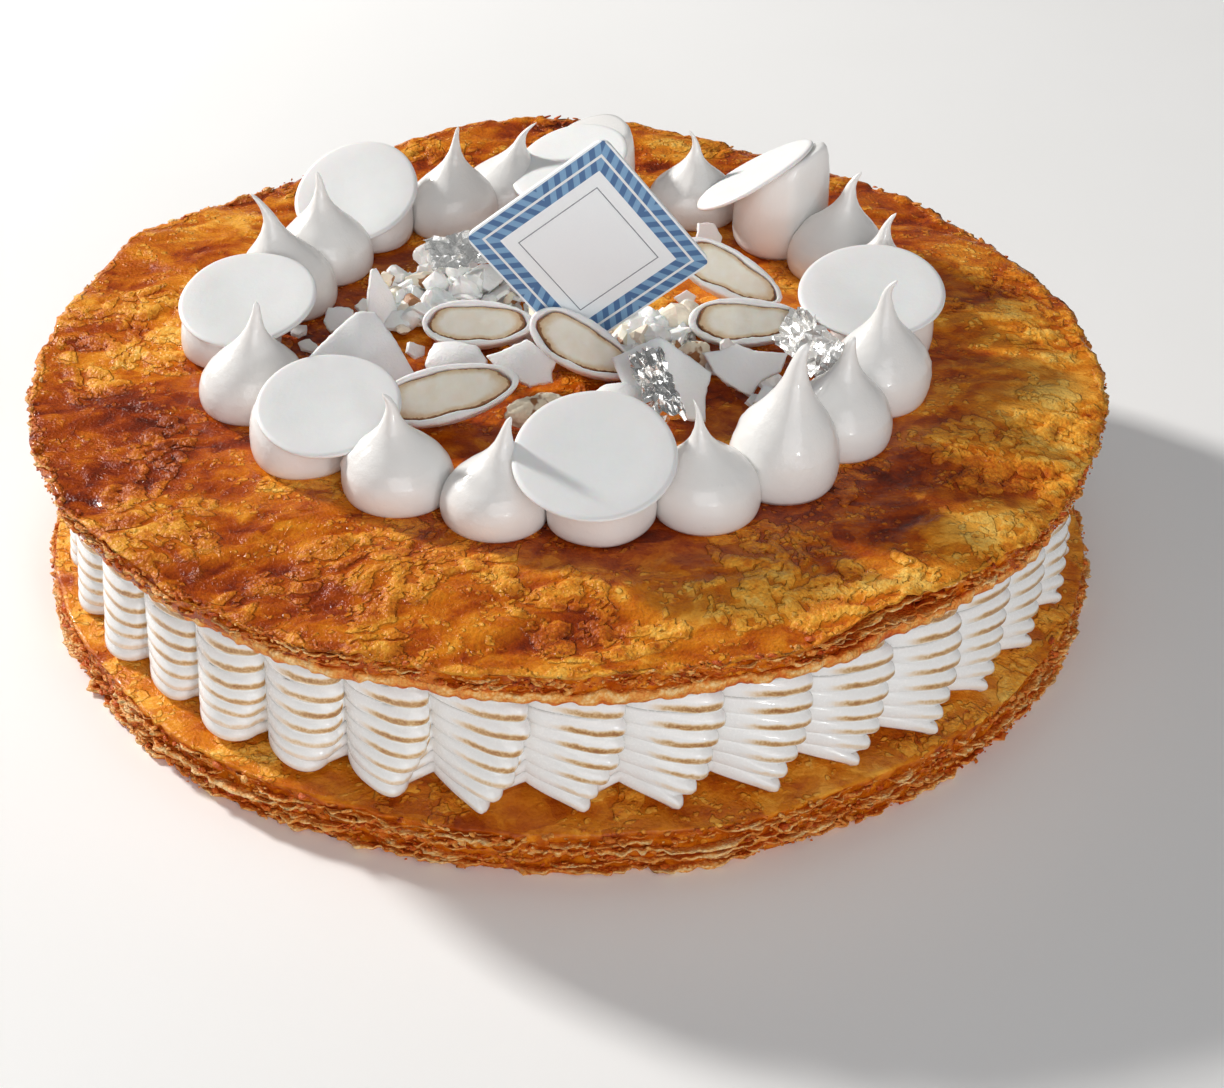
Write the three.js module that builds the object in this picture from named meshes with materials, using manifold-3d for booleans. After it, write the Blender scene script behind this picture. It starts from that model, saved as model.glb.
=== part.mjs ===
// A galette des rois: two rounds of flaky pastry with a piped meringue layer between them. On the
// crust stands a ring of meringue kisses and meringue discs. Inside the ring lie split sugared
// almonds, broken sugar shell, crumbs, leaves of silver and a small card set on its corner.
//
// Millimetres, +Z up. The cake is modelled about its own axis, and the last lines set the origin
// at the middle of its footprint, on the surface that it rests on.

import * as THREE from 'three';
import { mergeVertices } from 'three/addons/utils/BufferGeometryUtils.js';
import Module from 'manifold-3d';

const wasm = await Module();
wasm.setup();

// ---------------------------------------------------------------- driving dimensions

const GAP = 0.3; // air kept between pieces that touch
const PASTRY_RADIUS = 115;
const BOTTOM_PASTRY_THICKNESS = 10.7;
const FILLING_THICKNESS = 28.6;
const TOP_PASTRY_THICKNESS = 8.2;
const ROUND_STEPS = 72; // sides of each pastry round

const FILLING_BOTTOM = BOTTOM_PASTRY_THICKNESS + GAP;
const FILLING_TOP = FILLING_BOTTOM + FILLING_THICKNESS;
const CRUST_BOTTOM = FILLING_TOP + GAP;
const CRUST_TOP = CRUST_BOTTOM + TOP_PASTRY_THICKNESS;
const TOPPING_FLOOR = CRUST_TOP + GAP; // where a piece on the crust has its underside

// The piped band: shells side by side, each one a stroke of the nozzle with level ribs.
const SHELL_COUNT = 38;
const RIB_COUNT = 8;
const CREASE_RADIUS = 105;
const SHELL_BULGE = { top: 3.2, bottom: 6 }; // how far a shell stands out of its crease
const RIB_DEPTH = 1.1;
const RIB_PITCH = { bottom: 2.75, top: 4.4 };
const CREASE_LIFT = 2.5; // a shell's foot rises towards the crease
const FLAT_UNDER_BAND = 99;

// Where the free edge of each rib ends, bottom rib first, measured back along the band.
const RIB_END_SETBACK = [7, 5.1, 3, 1.8, 0.8, 0, 0.3, 1.9];

// A shell in plan: along the band from its crease, and out of the crease, both as fractions.
const SHELL_PLAN = [[0, 0], [0.38, 0.55], [0.78, 0.98], [1.06, 0.85]];

const RING_CENTRE = new THREE.Vector2(-0.7, 1.9);
const KISS_RADIUS = 10.8;
const KISS_SIDES = 10;
const FLAT_KISS_RADIUS = 10.6;
const DISC_THICKNESS = 1.6;
const DISC_SIDES = 20;

// The kisses with a drawn-out tip: angle on the ring in degrees, distance from its centre, height,
// and how far the tip leans in X and Y.
const KISSES = [
  { angle: 15.4, radius: 70.2, height: 22.2, lean: [3.4, 0] },
  { angle: 30.4, radius: 70.8, height: 24.0, lean: [4.1, 0] },
  { angle: 65.0, radius: 71.0, height: 21.5, lean: [-0.5, 0] },
  { angle: 102.9, radius: 72.1, height: 20.0, lean: [7.5, 1.5] },
  { angle: 115.4, radius: 64.6, height: 24.8, lean: [2.0, 0] },
  { angle: 147.8, radius: 65.5, height: 23.9, lean: [-0.5, 0] },
  { angle: 163.5, radius: 64.5, height: 26.3, lean: [-5.5, 0] },
  { angle: 201.5, radius: 69.7, height: 23.2, lean: [2.5, 0] },
  { angle: 241.3, radius: 67.8, height: 21.8, lean: [-1.5, 0] },
  { angle: 258.6, radius: 69.0, height: 21.6, lean: [3, 0] },
  { angle: 292.1, radius: 70.4, height: 24.1, lean: [-2.7, 0] },
  { angle: 307.5, radius: 69.0, height: 30.0, lean: [2.8, 0] },
  { angle: 324.0, radius: 67.8, height: 23.4, lean: [1.2, 0] },
  { angle: 341.0, radius: 68.0, height: 26.9, lean: [1.4, 0] },
];

// The squashed kisses, each under a disc. The disc's middle is given from the kiss's middle and
// above the crust. Its size is its radius, and its slope is how far it rises for each millimetre
// towards +X and +Y.
const FLAT_KISSES = [
  { angle: 358.3, radius: 67.5, disc: { size: 15.5, from: [-2.6, 0.7], height: 13.2, slope: [0.06, 0.21] } },
  { angle: 44.5, radius: 69.5, disc: { size: 15.2, from: [-6.3, 0.6], height: 16.8, slope: [0.6, -0.25] } },
  { angle: 86.0, radius: 74.0, disc: { size: 14.4, from: [-4.8, -8.6], height: 12.4, slope: [0.32, 0.22] } },
  { angle: 132.0, radius: 70.0, disc: { size: 14.7, from: [-2.5, 0.2], height: 10.8, slope: [0.2, 0.5] } },
  { angle: 182.5, radius: 72.0, disc: { size: 14.6, from: [4.0, 1.0], height: 11.4, slope: [0.08, 0.25] } },
  { angle: 221.5, radius: 69.3, disc: { size: 14.2, from: [5.2, -1.0], height: 11.8, slope: [0.02, 0.25] } },
  { angle: 275.2, radius: 69.7, disc: { size: 15.5, from: [-1.1, -0.6], height: 14.6, slope: [0.03, 0.36] } },
];

// Split sugared almonds: the middle of the cut face in X and Y, its length, width and depth, and
// the turn of its long axis in the plane of the face. The faces lean back by faceTilt.
const SUGAR_SHELL = 1.2;
const KERNEL_RECESS = 0.5;
const ALMOND_SIDES = 12;
const ALMONDS = [
  { at: [-24.6, -33.6], length: 29, width: 12, depth: 9, turn: 13, faceTilt: 50 },
  { at: [-19.7, -3.0], length: 24, width: 10.5, depth: 9, turn: 0, faceTilt: 50 },
  { at: [2.3, -13.4], length: 24.5, width: 11.5, depth: 8.5, turn: -31, faceTilt: 50 },
  { at: [37.8, -1.8], length: 25.5, width: 10.5, depth: 9, turn: 0, faceTilt: 50 },
  { at: [34.8, 18.8], length: 26.5, width: 11, depth: 9, turn: -30, faceTilt: 50 },
];

// The card stands on one corner, leaning forward a little.
const CARD_SIDE = 36.5;
const CARD_THICKNESS = 1;
const CARD_CORNER_RADIUS = 2.2;
const CARD_TURN = 38.5; // of its upper left side from the level
const CARD_LEAN = -3; // back from upright
const CARD_MIDDLE = new THREE.Vector3(3.6, -5.0, 74.6);

// Broken pieces: the middle in X and Y, its height above the crust, length and width, how strongly
// it curves, and how it is turned: about the vertical, then forward or back, then to one side.
const SHARD_THICKNESS = 1.2;
const SHARDS = [
  { at: [-44, -15], height: 6.5, size: [25, 17], bend: 0.9, turn: 6, pitch: 42, bank: 4 },
  { at: [-24.5, -13.5], height: 4.2, size: [14, 9], bend: 1.6, turn: -8, pitch: 34, bank: 0 },
  { at: [-10.8, -14.5], height: 4.4, size: [16, 12], bend: 0.9, turn: -10, pitch: 40, bank: 5 },
  { at: [-42, 9], height: 6.4, size: [9, 15], bend: 1.0, turn: 24, pitch: 60, bank: 10 },
  { at: [18.2, -27.0], height: 7.2, size: [23, 19], bend: 0.8, turn: -6, pitch: 38, bank: 6 },
  { at: [8.5, -32.5], height: 4.0, size: [14, 11], bend: 1.4, turn: 4, pitch: 34, bank: -10 },
  { at: [36, -18.5], height: 4.8, size: [19, 12], bend: 1.4, turn: -4, pitch: 42, bank: 6 },
  { at: [43, -29.5], height: 4.0, size: [13, 10], bend: 1.2, turn: 14, pitch: 34, bank: 4 },
  { at: [31.5, 45.5], height: 4.8, size: [7.5, 8], bend: 1.0, turn: 20, pitch: 55, bank: 0 },
  { at: [-50.5, 7], height: 3.2, size: [9, 8], bend: 0.9, turn: -20, pitch: 34, bank: 0 },
];

// Lumps of broken almond.
const FRAGMENTS = [
  { at: [26, -10.5], radii: [4.6, 3.6, 5.0], turn: 20 },
  { at: [-6.5, -34], radii: [8.4, 4.2, 4.6], turn: 20 },
];

// Heaps of crumbs and small chips: the middle, the reach in X and Y, the height and the chips.
const HEAPS = [
  { name: 'crumb_heap_left', at: [-25, 18], reach: [17, 14], height: 12, chips: 13, seed: 3 },
  { name: 'crumb_heap_middle', at: [-1, 5.5], reach: [12, 9], height: 8, chips: 6, seed: 7 },
  { name: 'crumb_heap_right', at: [18, 0.5], reach: [10, 10], height: 6.5, chips: 7, seed: 13 },
];

// Leaves of silver: the middle, height, size and turns, as for the broken pieces.
const LEAF_THICKNESS = 0.5;
const LEAVES = [
  { at: [17.5, -33.0], height: 9.2, size: [8, 17], turn: 28, pitch: 42, bank: 0 },
  { at: [49.0, -13.5], height: 8.8, size: [24, 9], turn: -72, pitch: 52, bank: 4 },
  { at: [-25, 20.5], height: 12.5, size: [14, 9], turn: 20, pitch: 24, bank: 6 },
];

const degrees = THREE.MathUtils.degToRad;
const lerp = THREE.MathUtils.lerp;

// ---------------------------------------------------------------- materials

function finish(color, roughness, metalness = 0) {
  return new THREE.MeshStandardMaterial({ color, roughness, metalness });
}

const FINISHES = {
  pastry: () => finish(0xb5651d, 0.45),
  meringue: () => finish(0xf6f3ee, 0.5),
  sugar: () => finish(0xf7f5f2, 0.4),
  kernel: () => finish(0xe4cfae, 0.6),
  crumb: () => finish(0xeee6da, 0.7),
  silver: () => finish(0xd8d8d6, 0.3, 1),
  card: () => finish(0xe9eaea, 0.6),
};

// ---------------------------------------------------------------- small helpers

// Repeatable random numbers from 0 to 1.
function randomSource(seed) {
  let state = seed * 2654435761;
  return () => {
    state = (state + 0x6d2b79f5) | 0;
    let mixed = Math.imul(state ^ (state >>> 15), 1 | state);
    mixed = (mixed + Math.imul(mixed ^ (mixed >>> 7), 61 | mixed)) ^ mixed;
    return ((mixed ^ (mixed >>> 14)) >>> 0) / 4294967296;
  };
}

function closedGeometry(points, index) {
  const geometry = new THREE.BufferGeometry();
  geometry.setAttribute('position', new THREE.Float32BufferAttribute(points.flat(), 3));
  geometry.setIndex(index);
  geometry.computeVertexNormals();
  return geometry;
}

// A closed body from rings of points, bottom ring first, each counter-clockwise from above.
function ringBody(bottomPole, rings, topPole) {
  const count = rings[0].length;
  const at = (row, step) => 1 + row * count + (step % count);
  const top = 1 + rings.length * count;
  const index = [];
  for (let step = 0; step < count; step += 1) {
    index.push(0, at(0, step + 1), at(0, step));
    for (let row = 0; row + 1 < rings.length; row += 1) {
      index.push(at(row, step), at(row, step + 1), at(row + 1, step + 1));
      index.push(at(row, step), at(row + 1, step + 1), at(row + 1, step));
    }
    index.push(at(rings.length - 1, step), at(rings.length - 1, step + 1), top);
  }
  return closedGeometry([bottomPole, ...rings.flat(), topPole], index);
}

// A thin closed body: a sheet of points p(u, v), thickened downwards along its own normals.
function sheetBody(pointAt, normalAt, stepsU, stepsV, thickness) {
  const points = [];
  for (const side of [0.5, -0.5]) {
    for (let j = 0; j <= stepsV; j += 1) {
      for (let i = 0; i <= stepsU; i += 1) {
        const point = pointAt(i / stepsU, j / stepsV);
        const normal = normalAt(i / stepsU, j / stepsV);
        points.push(point.addScaledVector(normal, side * thickness).toArray());
      }
    }
  }
  const row = stepsU + 1;
  const under = row * (stepsV + 1);
  const index = [];
  for (let j = 0; j < stepsV; j += 1) {
    for (let i = 0; i < stepsU; i += 1) {
      const a = j * row + i;
      index.push(a, a + 1, a + row + 1, a, a + row + 1, a + row);
      index.push(under + a, under + a + row + 1, under + a + 1);
      index.push(under + a, under + a + row, under + a + row + 1);
    }
  }
  const edge = [];
  for (let i = 0; i < stepsU; i += 1) edge.push(i);
  for (let j = 0; j < stepsV; j += 1) edge.push(j * row + stepsU);
  for (let i = stepsU; i > 0; i -= 1) edge.push(stepsV * row + i);
  for (let j = stepsV; j > 0; j -= 1) edge.push(j * row);
  edge.forEach((a, step) => {
    const b = edge[(step + 1) % edge.length];
    index.push(a, under + b, b, a, under + a, under + b);
  });
  return closedGeometry(points, index);
}

function piece(name, geometry, material, position = new THREE.Vector3(), turn = new THREE.Euler()) {
  const mesh = new THREE.Mesh(geometry, material);
  mesh.name = name;
  mesh.position.copy(position);
  mesh.rotation.copy(turn);
  mesh.updateMatrixWorld();
  return mesh;
}

// Lifts a piece that would dip into the crust until its lowest point rests on it.
function restOnCrust(mesh) {
  const lowest = new THREE.Box3().setFromObject(mesh, true).min.z;
  mesh.position.z += Math.max(0, TOPPING_FLOOR - lowest);
  mesh.updateMatrixWorld();
  return mesh;
}

// ---------------------------------------------------------------- joining and cutting

function toSolid(geometry) {
  const bare = geometry.clone();
  bare.deleteAttribute('normal');
  bare.deleteAttribute('uv');
  const merged = mergeVertices(bare, 1e-5);
  const vertProperties = new Float32Array(merged.attributes.position.array);
  const triVerts = new Uint32Array(merged.index.array);
  return new wasm.Manifold(new wasm.Mesh({ numProp: 3, vertProperties, triVerts }));
}

function toGeometry(solid) {
  const mesh = solid.getMesh();
  const geometry = new THREE.BufferGeometry();
  geometry.setAttribute('position', new THREE.BufferAttribute(new Float32Array(mesh.vertProperties), 3));
  geometry.setIndex(new THREE.BufferAttribute(new Uint32Array(mesh.triVerts), 1));
  geometry.computeVertexNormals();
  return geometry;
}

// The room that a placed mesh takes up, with the gap added all round, in the cake's own frame.
function roomFor(mesh, gap = GAP) {
  const bare = mesh.geometry.clone().applyMatrix4(mesh.matrixWorld);
  bare.deleteAttribute('normal');
  bare.deleteAttribute('uv');
  const grown = mergeVertices(bare, 1e-5);
  grown.computeVertexNormals();
  const { position, normal } = grown.attributes;
  for (let i = 0; i < position.count; i += 1) {
    position.setXYZ(
      i,
      position.getX(i) + gap * normal.getX(i),
      position.getY(i) + gap * normal.getY(i),
      position.getZ(i) + gap * normal.getZ(i),
    );
  }
  grown.computeBoundingBox();
  return grown;
}

function largestPart(solid) {
  return solid.decompose().sort((a, b) => b.volume() - a.volume())[0];
}

// Cuts a mesh wherever it would cross one of the rooms, and keeps its largest part.
function fitAround(mesh, rooms) {
  const reach = new THREE.Box3().setFromObject(mesh, true);
  const back = mesh.matrixWorld.clone().invert();
  const crossed = rooms.filter((room) => room.boundingBox.intersectsBox(reach));
  if (crossed.length === 0) return mesh;
  let solid = toSolid(mesh.geometry);
  const before = solid.volume();
  for (const room of crossed) solid = solid.subtract(toSolid(room.clone().applyMatrix4(back)));
  if (before - solid.volume() < 0.001) return mesh;
  mesh.geometry = toGeometry(largestPart(solid));
  return mesh;
}

// ---------------------------------------------------------------- pastry rounds

// A wavy value between -1 and 1 that differs from layer to layer.
function ruffle(angle, layer) {
  const broad = 0.45 * Math.sin(7 * angle + 1.7 * layer);
  const fine = 0.33 * Math.sin(13 * angle - 2.3 * layer);
  return broad + fine + 0.22 * Math.sin(23 * angle + 4.1 * layer);
}

// One swelling of the outline, centred on an angle in degrees.
function swelling(angle, centre, halfWidth) {
  const away = Math.atan2(Math.sin(angle - degrees(centre)), Math.cos(angle - degrees(centre)));
  return Math.exp(-((away / degrees(halfWidth)) ** 2));
}

function ringAt(radiusAt, heightAt) {
  const ring = [];
  for (let step = 0; step < ROUND_STEPS; step += 1) {
    const angle = (2 * Math.PI * step) / ROUND_STEPS;
    const radius = radiusAt(angle);
    ring.push([radius * Math.cos(angle), radius * Math.sin(angle), heightAt(angle)]);
  }
  return ring;
}

// The flaky side of a round: leaves of pastry that stand out and draw in by turns.
function leafRings(radiusAt, bottomAt, topAt, leaves, firstLayer) {
  const rings = [];
  for (let leaf = 0; leaf < leaves; leaf += 1) {
    const out = leaf % 2 === 0 ? 0.6 : -1.1;
    const height = (leaf + 0.5) / leaves;
    rings.push(
      ringAt(
        (angle) => radiusAt(angle) + out + 0.9 * ruffle(angle, firstLayer + leaf),
        (angle) => lerp(bottomAt(angle), topAt(angle), height) + 0.25 * ruffle(angle, leaf + 9),
      ),
    );
  }
  return rings;
}

function bottomPastry() {
  const outline = (angle) => PASTRY_RADIUS - 0.6 + 0.8 * ruffle(angle, 3);
  const topEdge = (angle) => BOTTOM_PASTRY_THICKNESS - 0.8 + 0.3 * ruffle(angle, 5);
  const rings = [
    ringAt((angle) => outline(angle) - 2.2, () => 0),
    ...leafRings(outline, () => 0.4, topEdge, 5, 20),
    ringAt((angle) => outline(angle) - 2.4, topEdge),
    ringAt(() => FLAT_UNDER_BAND + 2, () => BOTTOM_PASTRY_THICKNESS),
  ];
  return ringBody([0, 0, 0], rings, [0, 0, BOTTOM_PASTRY_THICKNESS]);
}

// The top round is uneven: it is drawn up and out at the back, and sinks a little at the front.
function topPastry() {
  const outline = (angle) =>
    PASTRY_RADIUS - 0.4
    + 3.6 * swelling(angle, 93, 17)
    + 1.8 * swelling(angle, 150, 8)
    - 1.6 * swelling(angle, 132, 9)
    - 1.4 * swelling(angle, 25, 20)
    - 1.2 * swelling(angle, 264, 22)
    - 1.5 * swelling(angle, 315, 45)
    - 1.8 * swelling(angle, 303, 10)
    + 0.7 * ruffle(angle, 1);
  const rimLift = (angle) => 4.4 * swelling(angle, 93, 19) - 1.2 * swelling(angle, 262, 30);
  const underside = (angle) => CRUST_BOTTOM + Math.max(0, 0.8 * rimLift(angle));
  const upperEdge = (angle) => CRUST_TOP - 1.1 + rimLift(angle) + 0.3 * ruffle(angle, 8);
  const rings = [
    ringAt(() => PASTRY_RADIUS - 5.5, () => CRUST_BOTTOM),
    ringAt((angle) => outline(angle) - 2, underside),
    ...leafRings(outline, underside, upperEdge, 5, 40),
    ringAt((angle) => outline(angle) - 2.2, upperEdge),
    ringAt(
      (angle) => outline(angle) - 9 + 1.5 * ruffle(angle, 11),
      (angle) => CRUST_TOP + 0.45 * rimLift(angle) + 0.35 * ruffle(angle, 12),
    ),
    ringAt((angle) => 90 + 2 * ruffle(angle, 14), () => CRUST_TOP),
  ];
  return ringBody([0, 0, CRUST_BOTTOM], rings, [0, 0, CRUST_TOP]);
}

// ---------------------------------------------------------------- piped meringue layer

// Height of the notch under a rib, as a fraction of the band: the ribs widen towards the top.
function notchHeight(rib) {
  const growth = (RIB_PITCH.top - RIB_PITCH.bottom) / (RIB_COUNT - 1);
  const upTo = (ribs) => ribs * RIB_PITCH.bottom + (growth * ribs * (ribs - 1)) / 2;
  return upTo(rib) / upTo(RIB_COUNT);
}

// One ring of the band at a level counted in half ribs: even levels are notches, odd ones crests.
function bandRing(level) {
  const rib = Math.min(Math.floor(level / 2), RIB_COUNT - 1);
  const isCrest = level % 2 === 1;
  const height = isCrest ? (notchHeight(rib) + notchHeight(rib + 1)) / 2 : notchHeight(level / 2);
  const bulge = lerp(SHELL_BULGE.bottom, SHELL_BULGE.top, height);
  const shellLength = (2 * Math.PI * CREASE_RADIUS) / SHELL_COUNT;
  const kept = 1 - RIB_END_SETBACK[rib] / (SHELL_PLAN.at(-1)[0] * shellLength);
  const ring = [];
  for (let shell = 0; shell < SHELL_COUNT; shell += 1) {
    const swell = 1 + 0.12 * Math.sin(2.4 * shell) + 0.08 * Math.sin(5.1 * shell + 1);
    for (const [along, out] of SHELL_PLAN) {
      const place = along > 1 ? along * kept : along * lerp(1, kept, along);
      const angle = (2 * Math.PI * (shell + place)) / SHELL_COUNT;
      const notch = isCrest ? 0 : RIB_DEPTH * Math.min(1, 0.4 + out);
      const radius = CREASE_RADIUS + bulge * swell * out - notch;
      const foot = FILLING_BOTTOM + CREASE_LIFT * (1 - Math.min(1, along));
      ring.push([radius * Math.cos(angle), radius * Math.sin(angle), lerp(foot, FILLING_TOP, height)]);
    }
  }
  return ring;
}

function meringueFilling() {
  const rings = [];
  for (let level = 0; level <= 2 * RIB_COUNT; level += 1) rings.push(bandRing(level));
  const underBand = rings[0].map(([x, y]) => {
    const shrink = FLAT_UNDER_BAND / Math.hypot(x, y);
    return [x * shrink, y * shrink, FILLING_BOTTOM];
  });
  return ringBody([0, 0, FILLING_BOTTOM], [underBand, ...rings], [0, 0, FILLING_TOP]);
}

// ---------------------------------------------------------------- the ring of kisses and discs

function onRing({ angle, radius }) {
  const out = new THREE.Vector2(Math.cos(degrees(angle)), Math.sin(degrees(angle)));
  return out.multiplyScalar(radius).add(RING_CENTRE);
}

const RING_PLACES = [...KISSES, ...FLAT_KISSES].map(onRing);

// Neighbours are piped so close that they press flat against each other half way between them.
function pressFlat(point, middle) {
  for (const other of RING_PLACES) {
    const away = other.clone().sub(middle);
    const distance = away.length();
    if (distance > 0.01 && distance < 2.4 * KISS_RADIUS) {
      away.divideScalar(distance);
      const reach = point.x * away.x + point.y * away.y;
      const over = Math.max(0, reach - (distance - GAP) / 2);
      point.x -= over * away.x;
      point.y -= over * away.y;
    }
  }
  return point;
}

// Half width of a kiss at a height from 0 to 1: a round belly that draws out into a thin tip.
const KISS_OUTLINE = [[0, 0.82], [0.1, 0.97], [0.27, 0.98], [0.48, 0.68], [0.68, 0.33], [0.88, 0.12]];

function kiss({ height, lean }, middle) {
  const axisAt = (up) => new THREE.Vector3(lean[0] * up ** 1.6, lean[1] * up ** 1.6, height * up);
  const rings = KISS_OUTLINE.map(([up, half]) => {
    const ring = [];
    for (let side = 0; side < KISS_SIDES; side += 1) {
      const angle = (2 * Math.PI * side) / KISS_SIDES;
      const point = axisAt(up);
      point.x += KISS_RADIUS * half * Math.cos(angle);
      point.y += KISS_RADIUS * half * Math.sin(angle);
      ring.push(pressFlat(point, middle).toArray());
    }
    return ring;
  });
  return ringBody([0, 0, 0], rings, pressFlat(axisAt(1), middle).toArray());
}

function heightUnderDisc({ from, height, slope }, x, y) {
  const middle = height + slope[0] * (x - from[0]) + slope[1] * (y - from[1]);
  const steepness = Math.hypot(slope[0], slope[1], 1);
  return middle - (DISC_THICKNESS / 2 + GAP) * steepness - GAP;
}

// A squashed kiss: a low cushion whose flat top lies along the underside of its disc.
function flatKiss({ disc }, middle) {
  const widths = [[0, 0.85], [0.22, 1], [0.6, 0.97], [1, 0.72]];
  const rings = widths.map(([up, half]) => {
    const ring = [];
    for (let side = 0; side < KISS_SIDES; side += 1) {
      const angle = (2 * Math.PI * side) / KISS_SIDES;
      const point = new THREE.Vector3(Math.cos(angle), Math.sin(angle), 0);
      point.multiplyScalar(FLAT_KISS_RADIUS * half);
      pressFlat(point, middle);
      point.z = up * Math.max(2, heightUnderDisc(disc, point.x, point.y));
      ring.push(point.toArray());
    }
    return ring;
  });
  return ringBody([0, 0, 0], rings, [0, 0, heightUnderDisc(disc, 0, 0)]);
}

function discMesh(flat, number) {
  const { size, from, height, slope } = flat.disc;
  const geometry = new THREE.CylinderGeometry(size, size - 0.3, DISC_THICKNESS, DISC_SIDES);
  geometry.rotateX(Math.PI / 2);
  const middle = onRing(flat);
  const position = new THREE.Vector3(middle.x + from[0], middle.y + from[1], TOPPING_FLOOR + height);
  const up = new THREE.Vector3(-slope[0], -slope[1], 1).normalize();
  const turn = new THREE.Quaternion().setFromUnitVectors(new THREE.Vector3(0, 0, 1), up);
  const material = FINISHES.sugar();
  return piece(`disc_${number}`, geometry, material, position, new THREE.Euler().setFromQuaternion(turn));
}

function ringPiece(name, geometry, place) {
  const middle = onRing(place);
  const position = new THREE.Vector3(middle.x, middle.y, TOPPING_FLOOR);
  return piece(name, geometry, FINISHES.meringue(), position);
}

// ---------------------------------------------------------------- split sugared almonds

// One ring of a half almond: a row from 0 at the cut face to 1 at the back.
function almondRing(halfLength, halfWidth, depth, row) {
  const around = Math.cos((row * Math.PI) / 2);
  const ring = [];
  for (let side = 0; side < ALMOND_SIDES; side += 1) {
    const angle = (2 * Math.PI * side) / ALMOND_SIDES;
    const along = Math.cos(angle) * around;
    const blunt = 1 - 0.16 * along; // one end is fuller than the other
    ring.push([
      halfLength * along,
      halfWidth * Math.sin(angle) * around * blunt,
      -depth * Math.sin((row * Math.PI) / 2),
    ]);
  }
  return ring;
}

// The sugar shell is a bowl: its outside, then over the rim and down the inside.
function sugarShell({ length, width, depth }) {
  const outer = [0.55, 0].map((row) => almondRing(length / 2, width / 2, depth, row));
  const inside = [length / 2 - SUGAR_SHELL, width / 2 - SUGAR_SHELL, depth - SUGAR_SHELL];
  const inner = [0, 0.55].map((row) => almondRing(...inside, row));
  return ringBody([0, 0, -depth], [...outer, ...inner], [0, 0, SUGAR_SHELL - depth]);
}

function kernel({ length, width, depth }) {
  const wall = SUGAR_SHELL + 2 * GAP;
  const size = [length / 2 - wall, width / 2 - wall, depth - wall - KERNEL_RECESS];
  const rings = [0.55, 0].map((row) => almondRing(...size, row));
  return ringBody([0, 0, -size[2]], rings, [0, 0, 0]);
}

// A solid half almond, a little larger, that keeps other toppings out.
function almondRoom({ length, width, depth }, mesh) {
  const rings = [0.55, 0].map((row) => almondRing(length / 2, width / 2, depth, row));
  const filled = ringBody([0, 0, -depth], rings, [0, 0, 0]);
  const stand = new THREE.Mesh(filled);
  stand.applyMatrix4(mesh.matrixWorld);
  stand.updateMatrixWorld();
  return roomFor(stand);
}

// The cut face looks towards the front and up; the shell comes to rest on the crust.
function almondPlace({ at, turn, faceTilt }, shell) {
  const lean = new THREE.Matrix4().makeRotationX(degrees(90 - faceTilt));
  const turned = lean.multiply(new THREE.Matrix4().makeRotationZ(degrees(turn)));
  const rotation = new THREE.Euler().setFromRotationMatrix(turned);
  const lowest = new THREE.Box3().setFromBufferAttribute(
    shell.clone().applyMatrix4(turned).attributes.position,
  ).min.z;
  return { position: new THREE.Vector3(at[0], at[1], TOPPING_FLOOR - lowest), rotation };
}

// ---------------------------------------------------------------- card

function cardGeometry() {
  const half = CARD_SIDE / 2;
  const flat = half - CARD_CORNER_RADIUS;
  const shape = new THREE.Shape();
  shape.absarc(flat, -flat, CARD_CORNER_RADIUS, -Math.PI / 2, 0);
  shape.absarc(flat, flat, CARD_CORNER_RADIUS, 0, Math.PI / 2);
  shape.absarc(-flat, flat, CARD_CORNER_RADIUS, Math.PI / 2, Math.PI);
  shape.absarc(-flat, -flat, CARD_CORNER_RADIUS, Math.PI, 1.5 * Math.PI);
  const depth = CARD_THICKNESS;
  return new THREE.ExtrudeGeometry(shape, { depth, bevelEnabled: false, curveSegments: 2 });
}

// ---------------------------------------------------------------- shards, lumps and leaves

function placement({ at, height, turn = 0, pitch = 0, bank = 0 }) {
  const position = new THREE.Vector3(at[0], at[1], TOPPING_FLOOR + height);
  const rotation = new THREE.Euler(degrees(pitch), degrees(bank), degrees(turn), 'ZXY');
  return { position, rotation };
}

// A piece of broken sugar shell: a curved sheet with an uneven outline.
function shardGeometry({ size, bend }, seed) {
  const random = randomSource(seed);
  const corners = [0, 1, 2, 3].map(() => 0.72 + 0.28 * random());
  const pull = (u, v) => {
    const near = lerp(corners[0], corners[1], u);
    const far = lerp(corners[2], corners[3], u);
    return lerp(near, far, v);
  };
  const radius = size[0] / bend;
  const pointAt = (u, v) => {
    const sweep = ((u - 0.5) * bend) * pull(u, v);
    const across = (v - 0.5) * size[1] * pull(u, v);
    return new THREE.Vector3(
      radius * Math.sin(sweep),
      across,
      radius * (Math.cos(sweep) - 1) - 0.02 * across * across,
    );
  };
  const normalAt = (u, v) => {
    const sweep = ((u - 0.5) * bend) * pull(u, v);
    return new THREE.Vector3(Math.sin(sweep), 0, Math.cos(sweep));
  };
  return sheetBody(pointAt, normalAt, 3, 2, SHARD_THICKNESS);
}

function leafGeometry({ size }, seed) {
  const phase = 2 * Math.PI * randomSource(seed)();
  const pointAt = (u, v) => new THREE.Vector3(
    (u - 0.5) * size[0],
    (v - 0.5) * size[1] * (0.85 + 0.15 * Math.sin(9 * u + phase)),
    0.8 * Math.sin(6.5 * u + phase) + 0.5 * Math.sin(5 * v + 4 * u),
  );
  return sheetBody(pointAt, () => new THREE.Vector3(0, 0, 1), 4, 3, LEAF_THICKNESS);
}

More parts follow.
